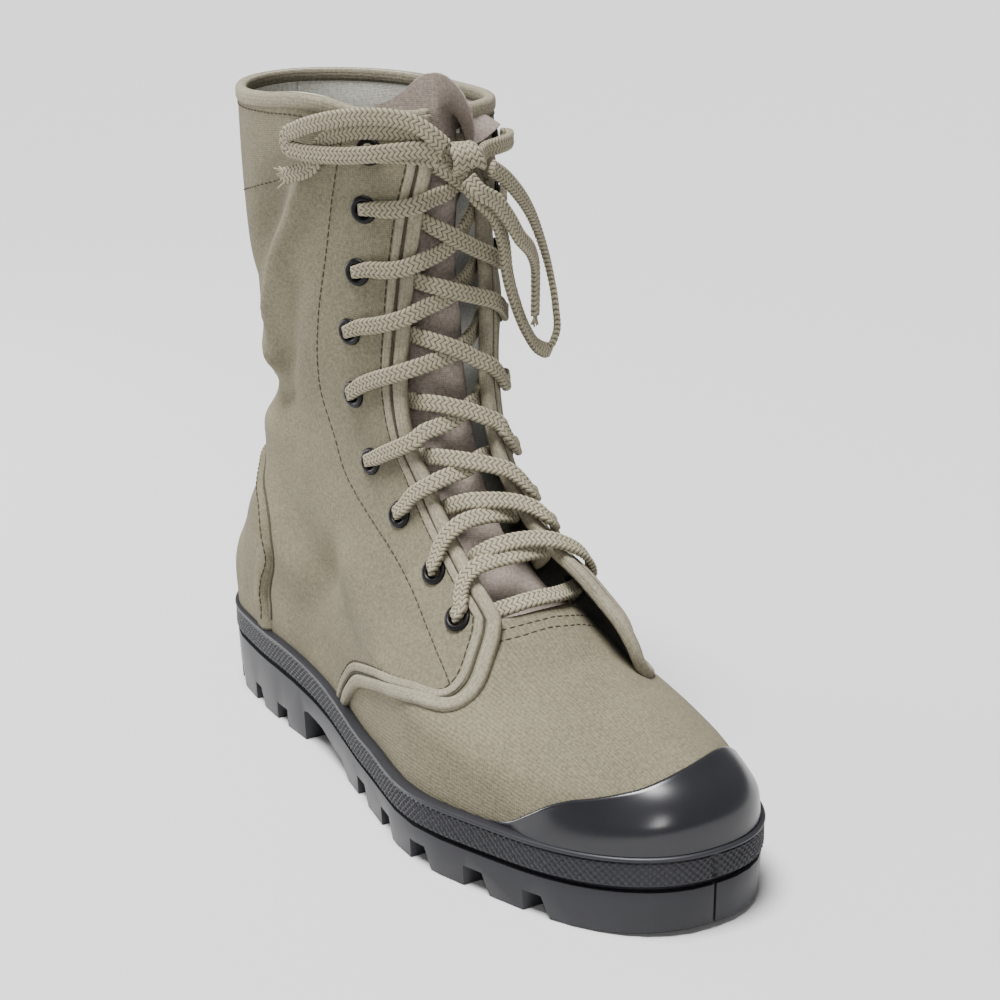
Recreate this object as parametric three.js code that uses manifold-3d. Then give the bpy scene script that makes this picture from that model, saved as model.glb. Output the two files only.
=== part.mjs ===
// High canvas lace-up boot, right foot, standing empty on its lugged rubber sole.
// Millimetres. Built with the heel's back at x 0, toe to +X, inner side of the foot to +Y.
import * as THREE from 'three';
import Module from 'manifold-3d';

const wasm = await Module();
wasm.setup();

// Main sizes
const SOLE_LENGTH = 300;
const BALL_WIDTH = 98;
const HEEL_WIDTH = 75;
const SHAFT_TOP = 250;
const FOREFOOT_SOLE = 13.8;
const HEEL_LIFT = 8.9;
const TOE_SPRING = 3;
const BAND_HEIGHT = 12.5;
const BAND_LEDGE = 4;
const TOE_SWING = 16;

// Wall, overlay and fit sizes
const CANVAS = 1.6;
const QUARTER_STEP = 1.2;
const GAP = 0.3;
const COUNTER_THICK = 1.2;
const TOE_CAP_THICK = 2.2;
const BINDING_THICK = 0.9;
const BINDING_DROP = 6;
const BEAD_WIDTH = 5;
const BEAD_HIGH = 2;
const INSOLE_THICK = 3.5;
const TRAY_FLOOR = 3;
const TONGUE_THICK = 2.2;
const TONGUE_DEEP = 6.6;

// Sole pattern sizes
const LUG_DEPTH = 7.5;
const LUG_REACH = 17;
const BREAST_HEIGHT = 15;
const HEEL_BREAST = 96;
const ARCH_END = 138;
const ARCH_HEIGHT = 9;

// Eyelets and lace
const EYELET_OUTER = 10;
const EYELET_BORE = 5.2;
const EYELET_PROUD = 1.3;
const EYELET_LEAF = 0.5;
const EYELET_HOLE = 7.2;
const LACE_WIDTH = 6.6;
const LACE_THICK = 2.4;
const CORD = 4.6;
const CORD_STEP = 10;
const KNOT_ROUND = 5.4;
const KNOT_PITCH = 5.2;

// Mesh fineness
const AROUND = 40;
const SOLE_AROUND = 64;
const EASE = 0.08;

const HEIGHT_TOP = FOREFOOT_SOLE + BAND_HEIGHT;
const FOOT_LENGTH = SOLE_LENGTH - 2 * BAND_LEDGE;
const REACH = FOOT_LENGTH / 292;
const BREADTH = BALL_WIDTH / 98;
const HEEL_BREADTH = HEEL_WIDTH / 75;
// Height row of the collar's rim; rows are laid out for this and stretched to SHAFT_TOP
const COLLAR_ROW = 250;
const TALL = SHAFT_TOP / COLLAR_ROW;

// One row per height: height, back, front, rear round, front round, fullness, outer half, inner half
const SECTIONS = [
  [26, 0, 292, 36, 57, 2.30, 36, 34],
  [36, -1.5, 291, 36, 60, 2.25, 36, 34],
  [46, -1.5, 285, 36, 72, 2.20, 36, 34],
  [54, 0, 273, 36, 92, 2.10, 35.5, 34],
  [62, 3, 250, 36, 108, 2, 35, 34],
  [72, 6, 226, 37, 108, 2, 34, 34],
  [86, 11, 203, 38, 96, 2, 33, 33.5],
  [104, 16, 184, 40, 84, 2, 31.5, 33],
  [126, 22, 168, 44, 74, 2, 30, 31.5],
  [150, 24, 156, 48, 66, 2, 32.5, 34.5],
  [180, 21.5, 149, 52, 62, 2, 37, 38.5],
  [215, 18.5, 146.5, 56, 60, 2, 39.5, 39.5],
  [250, 18, 146, 58, 60, 2, 40.5, 40],
];
// Half widths of the sole along its length, outer side then inner side, and its centre line
const OUTER_EDGE = [[0, 37.5], [60, 40.5], [120, 38.5], [165, 45.1], [205, 51.7], [250, 43.8], [300, 39.8]];
const INNER_EDGE = [[0, 34], [60, 35], [125, 32], [170, 39], [215, 46], [250, 45.4], [300, 42.4]];
const CENTRE = [[0, 0], [150, 0], [225, 0.35], [300, 1]];

function clamp(v, lo, hi) {
  return Math.min(hi, Math.max(lo, v));
}

function smooth(v) {
  const t = clamp(v, 0, 1);
  return t * t * (3 - 2 * t);
}

// Smooth curve through a table's column
function curve(table, v, column = 1) {
  const n = table.length;
  if (v <= table[0][0]) return table[0][column];
  if (v >= table[n - 1][0]) return table[n - 1][column];
  let i = 0;
  while (v > table[i + 1][0]) i += 1;
  const slope = (k) => {
    if (k === 0) return (table[1][column] - table[0][column]) / (table[1][0] - table[0][0]);
    if (k === n - 1) return (table[k][column] - table[k - 1][column]) / (table[k][0] - table[k - 1][0]);
    const before = table[k][0] - table[k - 1][0];
    const after = table[k + 1][0] - table[k][0];
    const left = (table[k][column] - table[k - 1][column]) / before;
    const right = (table[k + 1][column] - table[k][column]) / after;
    return (left * after + right * before) / (before + after);
  };
  const span = table[i + 1][0] - table[i][0];
  const t = (v - table[i][0]) / span;
  const a = table[i][column];
  const b = table[i + 1][column];
  const s0 = slope(i) * span;
  const s1 = slope(i + 1) * span;
  const t2 = t * t;
  const t3 = t2 * t;
  return a * (2 * t3 - 3 * t2 + 1) + s0 * (t3 - 2 * t2 + t) + b * (3 * t2 - 2 * t3) + s1 * (t3 - t2);
}

// Height of the sole's top above its forefoot level
function lift(x) {
  const spring = clamp((x - 0.72 * SOLE_LENGTH) / (0.28 * SOLE_LENGTH), 0, 1);
  return HEEL_LIFT * (1 - smooth((x - 70) / 90)) + TOE_SPRING * spring * spring;
}

// Point of the boot's skin: u runs back, outer side, front (0.5), inner side; h is the height row
function skin(u, h, off = 0) {
  const turn = u - Math.floor(u);
  const a = turn <= 0.5 ? 2 * turn : 2 - 2 * turn;
  const row = clamp(h, SECTIONS[0][0], SECTIONS[SECTIONS.length - 1][0]);
  const back = BAND_LEDGE + curve(SECTIONS, row, 1) * REACH - off;
  const front = BAND_LEDGE + curve(SECTIONS, row, 2) * REACH + off;
  const x = back + (front - back) * (1 - Math.cos(Math.PI * a)) / 2;
  const blend = smooth((row - 50) / 60);
  const full = curve(SECTIONS, row, 5);
  const round = (r) => Math.pow(1 - Math.pow(1 - clamp(r, 0, 1), full), 1 / full);
  const cap = round((x - back) / (curve(SECTIONS, row, 3) + off)) * round((front - x) / (curve(SECTIONS, row, 4) + off));
  const centre = TOE_SWING * curve(CENTRE, x) * (1 - smooth((row - 60) / 90));
  const breadth = HEEL_BREADTH + (BREADTH - HEEL_BREADTH) * smooth((x - 60) / 100);
  let y = 0;
  if (turn <= 0.5) {
    const foot = curve(OUTER_EDGE, x) * breadth - BAND_LEDGE;
    y = centre - (foot * (1 - blend) + curve(SECTIONS, row, 6) * blend + off) * cap;
  } else {
    const foot = curve(INNER_EDGE, x) * breadth - BAND_LEDGE;
    y = centre + (foot * (1 - blend) + curve(SECTIONS, row, 7) * blend + off) * cap;
  }
  const z = h * (h > HEIGHT_TOP ? 1 + (TALL - 1) * smooth((h - 100) / 150) : 1);
  return new THREE.Vector3(x, y, z + lift(x) * (1 - smooth((h - 30) / 75)));
}

function outward(u, h) {
  const du = skin(u + 0.004, h).sub(skin(u - 0.004, h));
  const dh = skin(u, h + 1).sub(skin(u, h - 1));
  return du.cross(dh).normalize();
}

function proud(u, h, off) {
  return skin(u, h).addScaledVector(outward(u, h), off);
}

// Solid from a grid of rings: rows of points, each row closed on itself, ends capped
function ringSolid(rows, closed = false) {
  const count = rows[0].length;
  const positions = [];
  rows.forEach((row) => row.forEach((p) => positions.push(p.x, p.y, p.z)));
  const tris = [];
  const last = closed ? rows.length : rows.length - 1;
  for (let j = 0; j < last; j += 1) {
    const k = (j + 1) % rows.length;
    for (let i = 0; i < count; i += 1) {
      const n = (i + 1) % count;
      tris.push(j * count + i, j * count + n, k * count + n);
      tris.push(j * count + i, k * count + n, k * count + i);
    }
  }
  if (!closed) {
    [0, rows.length - 1].forEach((j) => {
      const flat = flatten(rows[j]);
      THREE.ShapeUtils.triangulateShape(flat, []).forEach((t) => tris.push(j * count + t[0], j * count + t[1], j * count + t[2]));
    });
  }
  return solid(positions, tris, closed ? -1 : rows.length, count);
}

function flatten(row) {
  const middle = new THREE.Vector3();
  row.forEach((p) => middle.addScaledVector(p, 1 / row.length));
  const normal = new THREE.Vector3();
  row.forEach((p, i) => {
    const q = row[(i + 1) % row.length];
    normal.add(p.clone().sub(middle).cross(q.clone().sub(middle)));
  });
  normal.normalize();
  const side = Math.abs(normal.z) > 0.7 ? new THREE.Vector3(1, 0, 0) : new THREE.Vector3(0, 0, 1);
  const first = side.clone().cross(normal).normalize();
  const second = normal.clone().cross(first);
  return row.map((p) => new THREE.Vector2(p.clone().sub(middle).dot(first), p.clone().sub(middle).dot(second)));
}

function solid(positions, tris, rowCount, count) {
  const fixed = tris.slice();
  if (rowCount > 0) {
    const wall = (rowCount - 1) * count * 6;
    orientCaps(fixed, wall, count, rowCount);
  }
  let made = manifold(positions, fixed);
  if (made.volume() < 0) {
    const flipped = [];
    for (let i = 0; i < fixed.length; i += 3) flipped.push(fixed[i], fixed[i + 2], fixed[i + 1]);
    made = manifold(positions, flipped);
  }
  return made;
}

// Turn each end cap so that its rim runs against the wall's rim
function orientCaps(tris, wall, count, rowCount) {
  const caps = [[], []];
  for (let i = wall; i < tris.length; i += 3) {
    caps[tris[i] < count ? 0 : 1].push(i);
  }
  caps.forEach((list, end) => {
    const base = end === 0 ? 0 : (rowCount - 1) * count;
    let forward = false;
    list.forEach((i) => {
      for (let k = 0; k < 3; k += 1) {
        const a = tris[i + k] - base;
        const b = tris[i + ((k + 1) % 3)] - base;
        if ((a + 1) % count === b) forward = true;
      }
    });
    const wanted = end === 1;
    if (forward !== wanted) {
      list.forEach((i) => {
        const keep = tris[i + 1];
        tris[i + 1] = tris[i + 2];
        tris[i + 2] = keep;
      });
    }
  });
}

function manifold(positions, tris) {
  return new wasm.Manifold(new wasm.Mesh({
    numProp: 3,
    vertProperties: new Float32Array(positions),
    triVerts: new Uint32Array(tris),
  }));
}

function fromGeometry(geometry) {
  const at = geometry.attributes.position;
  const seen = new Map();
  const positions = [];
  const ids = [];
  for (let i = 0; i < at.count; i += 1) {
    const key = [at.getX(i), at.getY(i), at.getZ(i)].map((v) => Math.round(v * 1e4)).join(' ');
    if (!seen.has(key)) {
      seen.set(key, positions.length / 3);
      positions.push(at.getX(i), at.getY(i), at.getZ(i));
    }
    ids.push(seen.get(key));
  }
  const order = geometry.index ? Array.from(geometry.index.array) : ids.map((_, i) => i);
  const tris = [];
  for (let i = 0; i < order.length; i += 3) {
    const t = [ids[order[i]], ids[order[i + 1]], ids[order[i + 2]]];
    if (t[0] !== t[1] && t[1] !== t[2] && t[0] !== t[2]) tris.push(...t);
  }
  return manifold(positions, tris);
}

function range(from, to, steps) {
  return Array.from({ length: steps + 1 }, (_, i) => from + (to - from) * i / steps);
}

// Closed loft of the skin over a list of heights, moved out along its own normal
function loft(heights, off, around = AROUND) {
  return ringSolid(heights.map((h) => {
    return Array.from({ length: around }, (_, i) => proud(i / around, h, off));
  }));
}

// Patch of the skin between two offsets, over rows of [u, h] pairs
function patch(rows, low, high, follow = proud) {
  const cut = rows.map((row) => {
    const top = row.map(([u, h]) => follow(u, h, high));
    const bottom = row.map(([u, h]) => follow(u, h, low)).reverse();
    return top.concat(bottom);
  });
  return ringSolid(cut);
}

// Side view outline pushed through the boot
function sideCut(points, from, to) {
  const shape = new THREE.Shape(points.map(([x, z]) => new THREE.Vector2(x, z)));
  const geometry = new THREE.ExtrudeGeometry(shape, { depth: to - from, bevelEnabled: false });
  geometry.rotateX(Math.PI / 2);
  geometry.translate(0, to, 0);
  return fromGeometry(geometry);
}

// Flat strap swept along points, its width across the sideways direction of each point
function strap(stations, width, thick) {
  const half = width / 2;
  const up = thick / 2;
  return ringSolid(stations.map(({ at, side, normal }) => {
    const put = (s, n) => at.clone().addScaledVector(side, s * half).addScaledVector(normal, n * up);
    return [put(-1, 0), put(-0.6, 1), put(0.6, 1), put(1, 0), put(0.6, -1), put(-0.6, -1)];
  }));
}

function mesh(name, body, colour, roughness) {
  const data = body.simplify(EASE).getMesh();
  const geometry = new THREE.BufferGeometry();
  const step = data.numProp;
  const positions = new Float32Array((data.vertProperties.length / step) * 3);
  for (let i = 0; i < positions.length / 3; i += 1) {
    for (let k = 0; k < 3; k += 1) positions[i * 3 + k] = data.vertProperties[i * step + k];
  }
  geometry.setAttribute('position', new THREE.BufferAttribute(positions, 3));
  geometry.setIndex(Array.from(data.triVerts));
  const made = new THREE.Mesh(geometry, new THREE.MeshStandardMaterial({ color: colour, roughness }));
  made.name = name;
  return made;
}

const CANVAS_COLOUR = 0x8f8970;
const RUBBER_COLOUR = 0x2b2d30;
const LACE_COLOUR = 0xa9a38a;
const LINING_COLOUR = 0xd9d4c2;

// Sole: side view profile and plan outline
function soleOutline(z, off) {
  const ring = Array.from({ length: SOLE_AROUND }, (_, i) => skin(i / SOLE_AROUND, HEIGHT_TOP, off));
  return ring.map((p) => new THREE.Vector3(p.x, p.y, z));
}

function notch(start, end, side) {
  const slope = 3;
  const points = [[start, -2], [start, LUG_DEPTH], [end - slope, LUG_DEPTH], [end + 1, -2]];
  const reach = side < 0 ? [-80, 0] : [0, 80];
  return sideCut(points, reach[0], reach[1]);
}

// One row per notch: where it starts and ends along the sole
const NOTCHES = [[24, 33], [49, 58], [150, 161], [177, 188.5], [204, 215.5], [231, 242], [256, 266]];

function buildOutsole() {
  const tops = range(0, 1, 20).map((t) => [SOLE_LENGTH * (1.02 - 1.04 * t), 0]);
  const upper = tops.map(([x]) => [x, FOREFOOT_SOLE + lift(x) - GAP / 2]);
  const toe = range(0, 1, 6).map((t) => {
    const x = SOLE_LENGTH * (0.89 + 0.13 * t);
    const rise = clamp((x - 0.89 * SOLE_LENGTH) / (0.11 * SOLE_LENGTH), 0, 1);
    return [x, 2.6 * rise * rise];
  });
  const lower = [[-6, 0], [HEEL_BREAST, 0], [HEEL_BREAST, BREAST_HEIGHT - 3], [HEEL_BREAST + 3, BREAST_HEIGHT - 2]];
  const arch = [[HEEL_BREAST + 16, ARCH_HEIGHT + 2], [ARCH_END - 16, ARCH_HEIGHT - 2], [ARCH_END - 7, ARCH_HEIGHT - 3]];
  const profile = lower.concat(arch, [[ARCH_END, 0]], toe, upper);
  let body = ringSolid([soleOutline(-1, BAND_LEDGE - 1.2), soleOutline(30, BAND_LEDGE)]);
  body = body.intersect(sideCut(profile, -90, 90));
  const core = ringSolid([soleOutline(-3, BAND_LEDGE - LUG_REACH), soleOutline(30, BAND_LEDGE - LUG_REACH)]);
  NOTCHES.forEach(([start, end]) => {
    [-1, 1].forEach((side) => {
      body = body.subtract(notch(start, end, side).subtract(core));
    });
  });
  return body;
}

// Tray: floor, wall, lip and groove in rows of height above the sole's top and offset
const TRAY_ROWS = [[-6, 2.9], [1.8, 2.9], [2.3, 4], [10.3, 3.9], [11, 4.3], [11.9, 4.1], [12.6, 3.2], [18, 3.2]];

// Slab between two heights that follow the sole's top
function slab(low, high) {
  const line = range(-0.04 * SOLE_LENGTH, 1.04 * SOLE_LENGTH, 27);
  const bottom = line.map((x) => [x, low + lift(x)]);
  const top = line.map((x) => [x, high + lift(x)]).reverse();
  return sideCut(bottom.concat(top), -90, 90);
}

function plan(heights, off) {
  return ringSolid(heights.map((h) => Array.from({ length: AROUND }, (_, i) => skin(i / AROUND, h, off))));
}

function buildTray() {
  const body = ringSolid(TRAY_ROWS.map(([rise, off]) => {
    return Array.from({ length: SOLE_AROUND }, (_, i) => skin(i / SOLE_AROUND, FOREFOOT_SOLE + rise, off));
  }));
  const hollow = plan([FOREFOOT_SOLE - 6, HEIGHT_TOP + 4], GAP).intersect(slab(FOREFOOT_SOLE + TRAY_FLOOR, 60));
  return body.intersect(slab(FOREFOOT_SOLE + GAP / 2, HEIGHT_TOP)).subtract(hollow);
}

const LOW = FOREFOOT_SOLE + TRAY_FLOOR + GAP;
const ROWS_OUT = [LOW, 26, 31, 36, 41, 46, 50, 54, 58, 62, 67, 72, 79, 86, 95, 104, 115, 126, 138, 150, 165, 182, 205, 228, 250];
const ROWS_IN = [26, 36, 46, 54, 62, 72, 86, 104, 126, 150, 180, 250];

// Edge of the quarters: from the collar down the throat, round the lobe, back to the sole
const OUTER_QUARTER = [
  [0.478, 250], [0.478, 232], [0.464, 216], [0.448, 194], [0.432, 173], [0.412, 152], [0.403, 134], [0.411, 122],
  [0.421, 107.4], [0.431, 97], [0.440, 83], [0.434, 78], [0.411, 71], [0.378, 62], [0.355, 58], [0.331, 57],
  [0.304, 54], [0.280, 49.5], [0.256, 42.5], [0.236, 34], [0.220, 26], [0.210, LOW],
];
const INNER_QUARTER = [
  [0.560, 250], [0.562, 232], [0.570, 216], [0.578, 194], [0.583, 173], [0.583, 152], [0.572, 134], [0.568, 122],
  [0.566, 107.4], [0.568, 97], [0.570, 83], [0.585, 78], [0.606, 71], [0.630, 62], [0.648, 58], [0.672, 57],
  [0.698, 54], [0.722, 49.5], [0.745, 42.5], [0.765, 34], [0.780, 26], [0.790, LOW],
];

const EDGE_STEPS = 42;
const THROAT_ROWS = 21;
const BAND_CLEAR = HEIGHT_TOP + 0.6;

// Points of an edge table, filled in evenly
function edge(table, steps) {
  return range(0, table.length - 1, steps).map((s) => {
    const keyed = table.map((p, i) => [i, p[0], p[1]]);
    return [curve(keyed, s, 1), curve(keyed, s, 2)];
  });
}


// Rows of the region behind a quarter's edge, each from the edge back to the heel line
function quarterRows(table, away) {
  const line = edge(table, EDGE_STEPS);
  return line.map(([u, h], i) => {
    const t = i / (line.length - 1);
    const far = 256 - (256 - LOW + 4) * t;
    const lean = i === 0 ? 6 : 0;
    return range(0, 1, 5).map((s) => [u + (away - u) * s, h + lean + (far - h - lean) * smooth(s)]);
  });
}

// Rows of the throat between the quarters' edges, from over the collar down to the vamp's top
function throatRows() {
  const outer = edge(OUTER_QUARTER, EDGE_STEPS).slice(0, THROAT_ROWS);
  const inner = edge(INNER_QUARTER, EDGE_STEPS).slice(0, THROAT_ROWS);
  const rows = outer.map(([u, h], i) => {
    return range(0, 1, 6).map((s) => [u - 0.004 + (inner[i][0] - u + 0.008) * s, h + (inner[i][1] - h) * s]);
  });
  return [rows[0].map(([u]) => [u, 262])].concat(rows);
}

// One row per eyelet from the collar down: outer side place, height, inner side place
const EYELETS = [
  [0.404, 236, 0.634], [0.395, 215.6, 0.639], [0.379, 193, 0.647], [0.355, 170.7, 0.660], [0.337, 147.1, 0.656],
  [0.338, 123.7, 0.645], [0.365, 108.2, 0.622], [0.391, 92.6, 0.614], [0.400, 80.3, 0.619],
];

function eyeletFrame(u, h) {
  const normal = outward(u, h);
  const turn = new THREE.Quaternion().setFromUnitVectors(new THREE.Vector3(0, 1, 0), normal);
  return new THREE.Matrix4().compose(skin(u, h), turn, new THREE.Vector3(1, 1, 1));
}

function buildEyelet(u, h) {
  const bore = EYELET_BORE / 2;
  const rim = EYELET_OUTER / 2;
  const seat = QUARTER_STEP + 0.6;
  const top = seat + EYELET_PROUD;
  const tube = EYELET_HOLE / 2 - GAP;
  const points = [
    [bore, -CANVAS - 0.4], [tube, -CANVAS - 0.4], [tube, seat], [rim, seat], [rim - 0.4, seat + EYELET_LEAF],
    [rim - 1.8, top], [bore, top - 0.5],
  ];
  const closed = points.concat([points[0]]).map(([r, y]) => new THREE.Vector2(r, y));
  const geometry = new THREE.LatheGeometry(closed, 10);
  geometry.applyMatrix4(eyeletFrame(u, h));
  const made = fromGeometry(geometry);
  return made.volume() < 0 ? turned(geometry) : made;
}

function turned(geometry) {
  const flipped = geometry.clone();
  const index = Array.from(geometry.index.array);
  for (let i = 0; i < index.length; i += 3) {
    const keep = index[i + 1];
    index[i + 1] = index[i + 2];
    index[i + 2] = keep;
  }
  flipped.setIndex(index);
  return fromGeometry(flipped);
}

function eyeletHole(u, h) {
  const geometry = new THREE.CylinderGeometry(EYELET_HOLE / 2, EYELET_HOLE / 2, 10, 10);
  geometry.applyMatrix4(eyeletFrame(u, h));
  return fromGeometry(geometry);
}

function buildUpper() {
  const vamp = loft([LOW - 6].concat(ROWS_OUT.slice(1)), 0).intersect(slab(LOW, 2 * SHAFT_TOP));
  const raised = loft([20].concat(ROWS_OUT.slice(1)), QUARTER_STEP).intersect(slab(BAND_CLEAR, 2 * SHAFT_TOP));
  const outer = patch(quarterRows(OUTER_QUARTER, -0.02), -9, 9);
  const inner = patch(quarterRows(INNER_QUARTER, 1.02), -9, 9);
  const quarters = raised.intersect(outer.add(inner));
  const hollow = loft([LOW - 10].concat(ROWS_IN, [256]), -CANVAS);
  let body = vamp.add(quarters).subtract(hollow).subtract(patch(throatRows(), -12, 12));
  EYELETS.forEach(([u, h, across]) => {
    body = body.subtract(eyeletHole(u, h)).subtract(eyeletHole(across, h));
  });
  return body;
}

// Raised binding that runs along a quarter's edge, lying on the quarter
function buildEdgeBinding(table, inward) {
  const line = edge(table, EDGE_STEPS).filter(([, h]) => h < COLLAR_ROW - BINDING_DROP - 2 && h > BAND_CLEAR + 1.6);
  const stations = line.map(([u, h], i) => {
    const before = line[Math.max(0, i - 1)];
    const after = line[Math.min(line.length - 1, i + 1)];
    const run = proud(after[0], after[1], 0).sub(proud(before[0], before[1], 0)).normalize();
    const normal = outward(u, h);
    const side = run.clone().cross(normal).multiplyScalar(inward).normalize();
    const at = proud(u, h, QUARTER_STEP + GAP).addScaledVector(side, BEAD_WIDTH / 2 + 0.2);
    return { at, side, normal };
  });
  const full = strap(stations, BEAD_WIDTH, 2 * BEAD_HIGH);
  return full.subtract(loft(ROWS_OUT, QUARTER_STEP + GAP));
}

// Heel counter: rows of height and how far it reaches round each side
const COUNTER_ROWS = [
  [BAND_CLEAR, 0.152], [34, 0.150], [42, 0.150], [50, 0.155], [58, 0.163], [66, 0.170], [74, 0.170], [81, 0.165],
  [87, 0.155], [92, 0.139], [96, 0.118], [99, 0.088], [101, 0.05],
];

function buildCounter() {
  const region = patch(COUNTER_ROWS.map(([h, reach]) => range(reach, -reach, 8).map((u) => [u, h])), -3, 7);
  const heights = [20, 34, 42, 50, 58, 66, 74, 82, 92, 103];
  const outer = loft(heights, QUARTER_STEP + GAP + COUNTER_THICK);
  const inner = loft([10].concat(heights.slice(1), [110]), QUARTER_STEP + GAP + 0.15);
  return outer.subtract(inner).intersect(region).intersect(slab(BAND_CLEAR, SHAFT_TOP));
}

// Toe cap: rows round the toe with the height of its upper edge
const TOE_ROWS = [
  [0.352, 26.9], [0.366, 28.3], [0.379, 33], [0.390, 37], [0.404, 40.4], [0.420, 42.4], [0.437, 44.3], [0.454, 45.9],
  [0.473, 47.8], [0.493, 49.3], [0.515, 50.2], [0.535, 50.2], [0.552, 49.5], [0.570, 47.6], [0.588, 43.5],
  [0.604, 37.5], [0.618, 31], [0.630, 26.9],
];

function buildToeCap() {
  const rows = TOE_ROWS.map(([u, top]) => range(0, 1, 4).map((s) => [u, 18 + (top + 0.3 - 18) * s]));
  const region = patch(rows, -3, 7);
  const heights = [20, 31, 36, 41, 46, 50, 54, 58];
  const outer = loft(heights, TOE_CAP_THICK + GAP);
  const inner = loft([10].concat(heights.slice(1), [62]), GAP);
  return outer.subtract(inner).intersect(region).intersect(slab(BAND_CLEAR, SHAFT_TOP));
}

function buildCollarBinding() {
  const low = COLLAR_ROW - BINDING_DROP / TALL;
  const out = QUARTER_STEP + GAP + BINDING_THICK;
  const inn = CANVAS + GAP + BINDING_THICK;
  const outer = loft([low, COLLAR_ROW - 1, COLLAR_ROW + 1], out);
  const core = loft([low - 3, COLLAR_ROW + 4], -inn);
  const slotOuter = loft([low - 5, COLLAR_ROW - 0.1 + GAP], QUARTER_STEP + GAP);
  const slotInner = loft([low - 6, COLLAR_ROW + 3], -CANVAS - GAP);
  return outer.subtract(core).subtract(slotOuter.subtract(slotInner)).subtract(patch(throatRows(), -14, 14));
}

function buildInsole() {
  return plan([LOW - 6, LOW + 10], -CANVAS - GAP - 0.2).intersect(slab(LOW, LOW + INSOLE_THICK));
}

// Tongue rows: height, half reach round the front, depth under the skin
const TONGUE_ROWS = [
  [70, 0.075, 0.7], [76, 0.085, 0.7], [80, 0.095, 0.8], [84, 0.1, 3.4], [89, 0.1, 5], [104, 0.1, 5], [116, 0.105, 5],
  [130, 0.11, 5], [150, 0.115, 5], [175, 0.115, 5], [200, 0.11, 5], [225, 0.105, 5], [245, 0.1, 5], [257, 0.09, 4],
];

function buildTongue() {
  const middle = 0.512;
  const rows = TONGUE_ROWS.map(([h, reach, deep]) => {
    const at = (u, more) => proud(u, h, -CANVAS - deep - more);
    const line = range(middle - reach, middle + reach, 8);
    return line.map((u) => at(u, 0)).concat(line.map((u) => at(u, TONGUE_THICK)).reverse());
  });
  return ringSolid(rows);
}

// Lace strap from one side's eyelet across the throat to under the other side's next eyelet
function laceStrap(from, to, middleOff) {
  const offs = [
    [0, 5], [0.1, 5.2], [0.22, 5.3], [0.34, 4.4], [0.43, middleOff + 0.8], [0.5, middleOff],
    [0.58, middleOff - 0.6], [0.67, -2.6], [0.76, -3.9], [0.86, -3.9],
  ];
  const place = (t) => [from[0] + (to[0] - from[0]) * t, from[1] + (to[1] - from[1]) * t];
  const stations = range(0, 0.86, 11).map((t) => {
    const [u, h] = place(t);
    const off = curve(offs, t);
    const ahead = place(t + 0.02);
    const run = proud(ahead[0], ahead[1], curve(offs, t + 0.02)).sub(proud(u, h, off)).normalize();
    const side = outward(u, h).cross(run).normalize();
    return { at: proud(u, h, off), side, normal: run.clone().cross(side).normalize() };
  });
  return strap(stations, LACE_WIDTH, LACE_THICK);
}

function buildCrossing(k) {
  const low = EYELETS[EYELETS.length - 1 - k];
  const high = EYELETS[EYELETS.length - 2 - k];
  const raise = k === 0 ? 2.4 : 0;
  const first = laceStrap([low[0], low[1]], [high[2], high[1]], raise);
  const second = laceStrap([low[2], low[1]], [high[0], high[1]], raise + 1.9);
  return first.add(second);
}

function buildBar() {
  const row = EYELETS[EYELETS.length - 1];
  const stations = range(0.446, 0.570, 6).map((u) => {
    const normal = outward(u, row[1] - 3.5);
    const run = skin(u + 0.01, row[1] - 3.5).sub(skin(u - 0.01, row[1] - 3.5)).normalize();
    return { at: proud(u, row[1] - 3.5, 2), side: normal.clone().cross(run).normalize(), normal };
  });
  return strap(stations, LACE_WIDTH, LACE_THICK);
}

// Bow: each row is a place round the boot, a height and a distance off the skin
const KNOT_LEAD = [[0.404, 236, 6], [0.420, 236, 6.8], [0.440, 235.8, 6.9], [0.462, 235.2, 6.4]];
const KNOT_TAIL = [[0.545, 235.5, 6.6], [0.565, 236, 7], [0.590, 236, 7], [0.612, 236, 6.6], [0.634, 236, 6]];
const LEFT_LOOP = [
  [0.4805, 240, 13.6], [0.470, 244.5, 13.5], [0.453, 248, 12], [0.435, 249.2, 10.5], [0.415, 249.5, 9], [0.395, 249, 8.2],
  [0.372, 248, 7.6], [0.350, 245.5, 7], [0.330, 241.5, 6.5], [0.318, 236, 6.3], [0.328, 231, 6.3], [0.350, 229.6, 6.5],
  [0.375, 230.4, 8], [0.397, 232, 10.8], [0.420, 233.4, 12.2], [0.445, 234.4, 12.6], [0.463, 234.8, 12.8], [0.4805, 235, 12.9],
];
const LEFT_END = [
  [0.4805, 229.9, 12.6], [0.463, 229.2, 12], [0.445, 228.5, 10.8], [0.425, 227.4, 9.4], [0.403, 226, 7.6], [0.385, 224.6, 5.9],
  [0.365, 223.6, 4.8], [0.340, 222.8, 4.1], [0.318, 222, 4.1],
];
const RIGHT_LOOP = [
  [0.503, 226.7, 12], [0.514, 221, 12.2], [0.536, 213, 12.5], [0.550, 203, 11.8], [0.560, 190, 11], [0.576, 178, 11],
  [0.598, 167, 12.5], [0.618, 160, 15.5], [0.632, 158, 19.5], [0.633, 164, 22.5], [0.631, 174, 22.2], [0.629, 188, 19.8],
  [0.618, 200, 17], [0.598, 211, 14.5], [0.572, 220, 13], [0.550, 226.5, 12.2], [0.5345, 230, 12],
];
const RIGHT_END = [
  [0.499, 228.4, 16.9], [0.506, 224, 18.4], [0.522, 219.5, 18.8], [0.536, 213, 18.6], [0.552, 205, 18.2], [0.572, 199, 17.8], [0.588, 192, 17.2],
  [0.593, 183, 16.6], [0.594, 173, 16],
];

function cordPoints(table) {
  return table.map(([u, h, off]) => proud(u, h, off));
}

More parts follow.
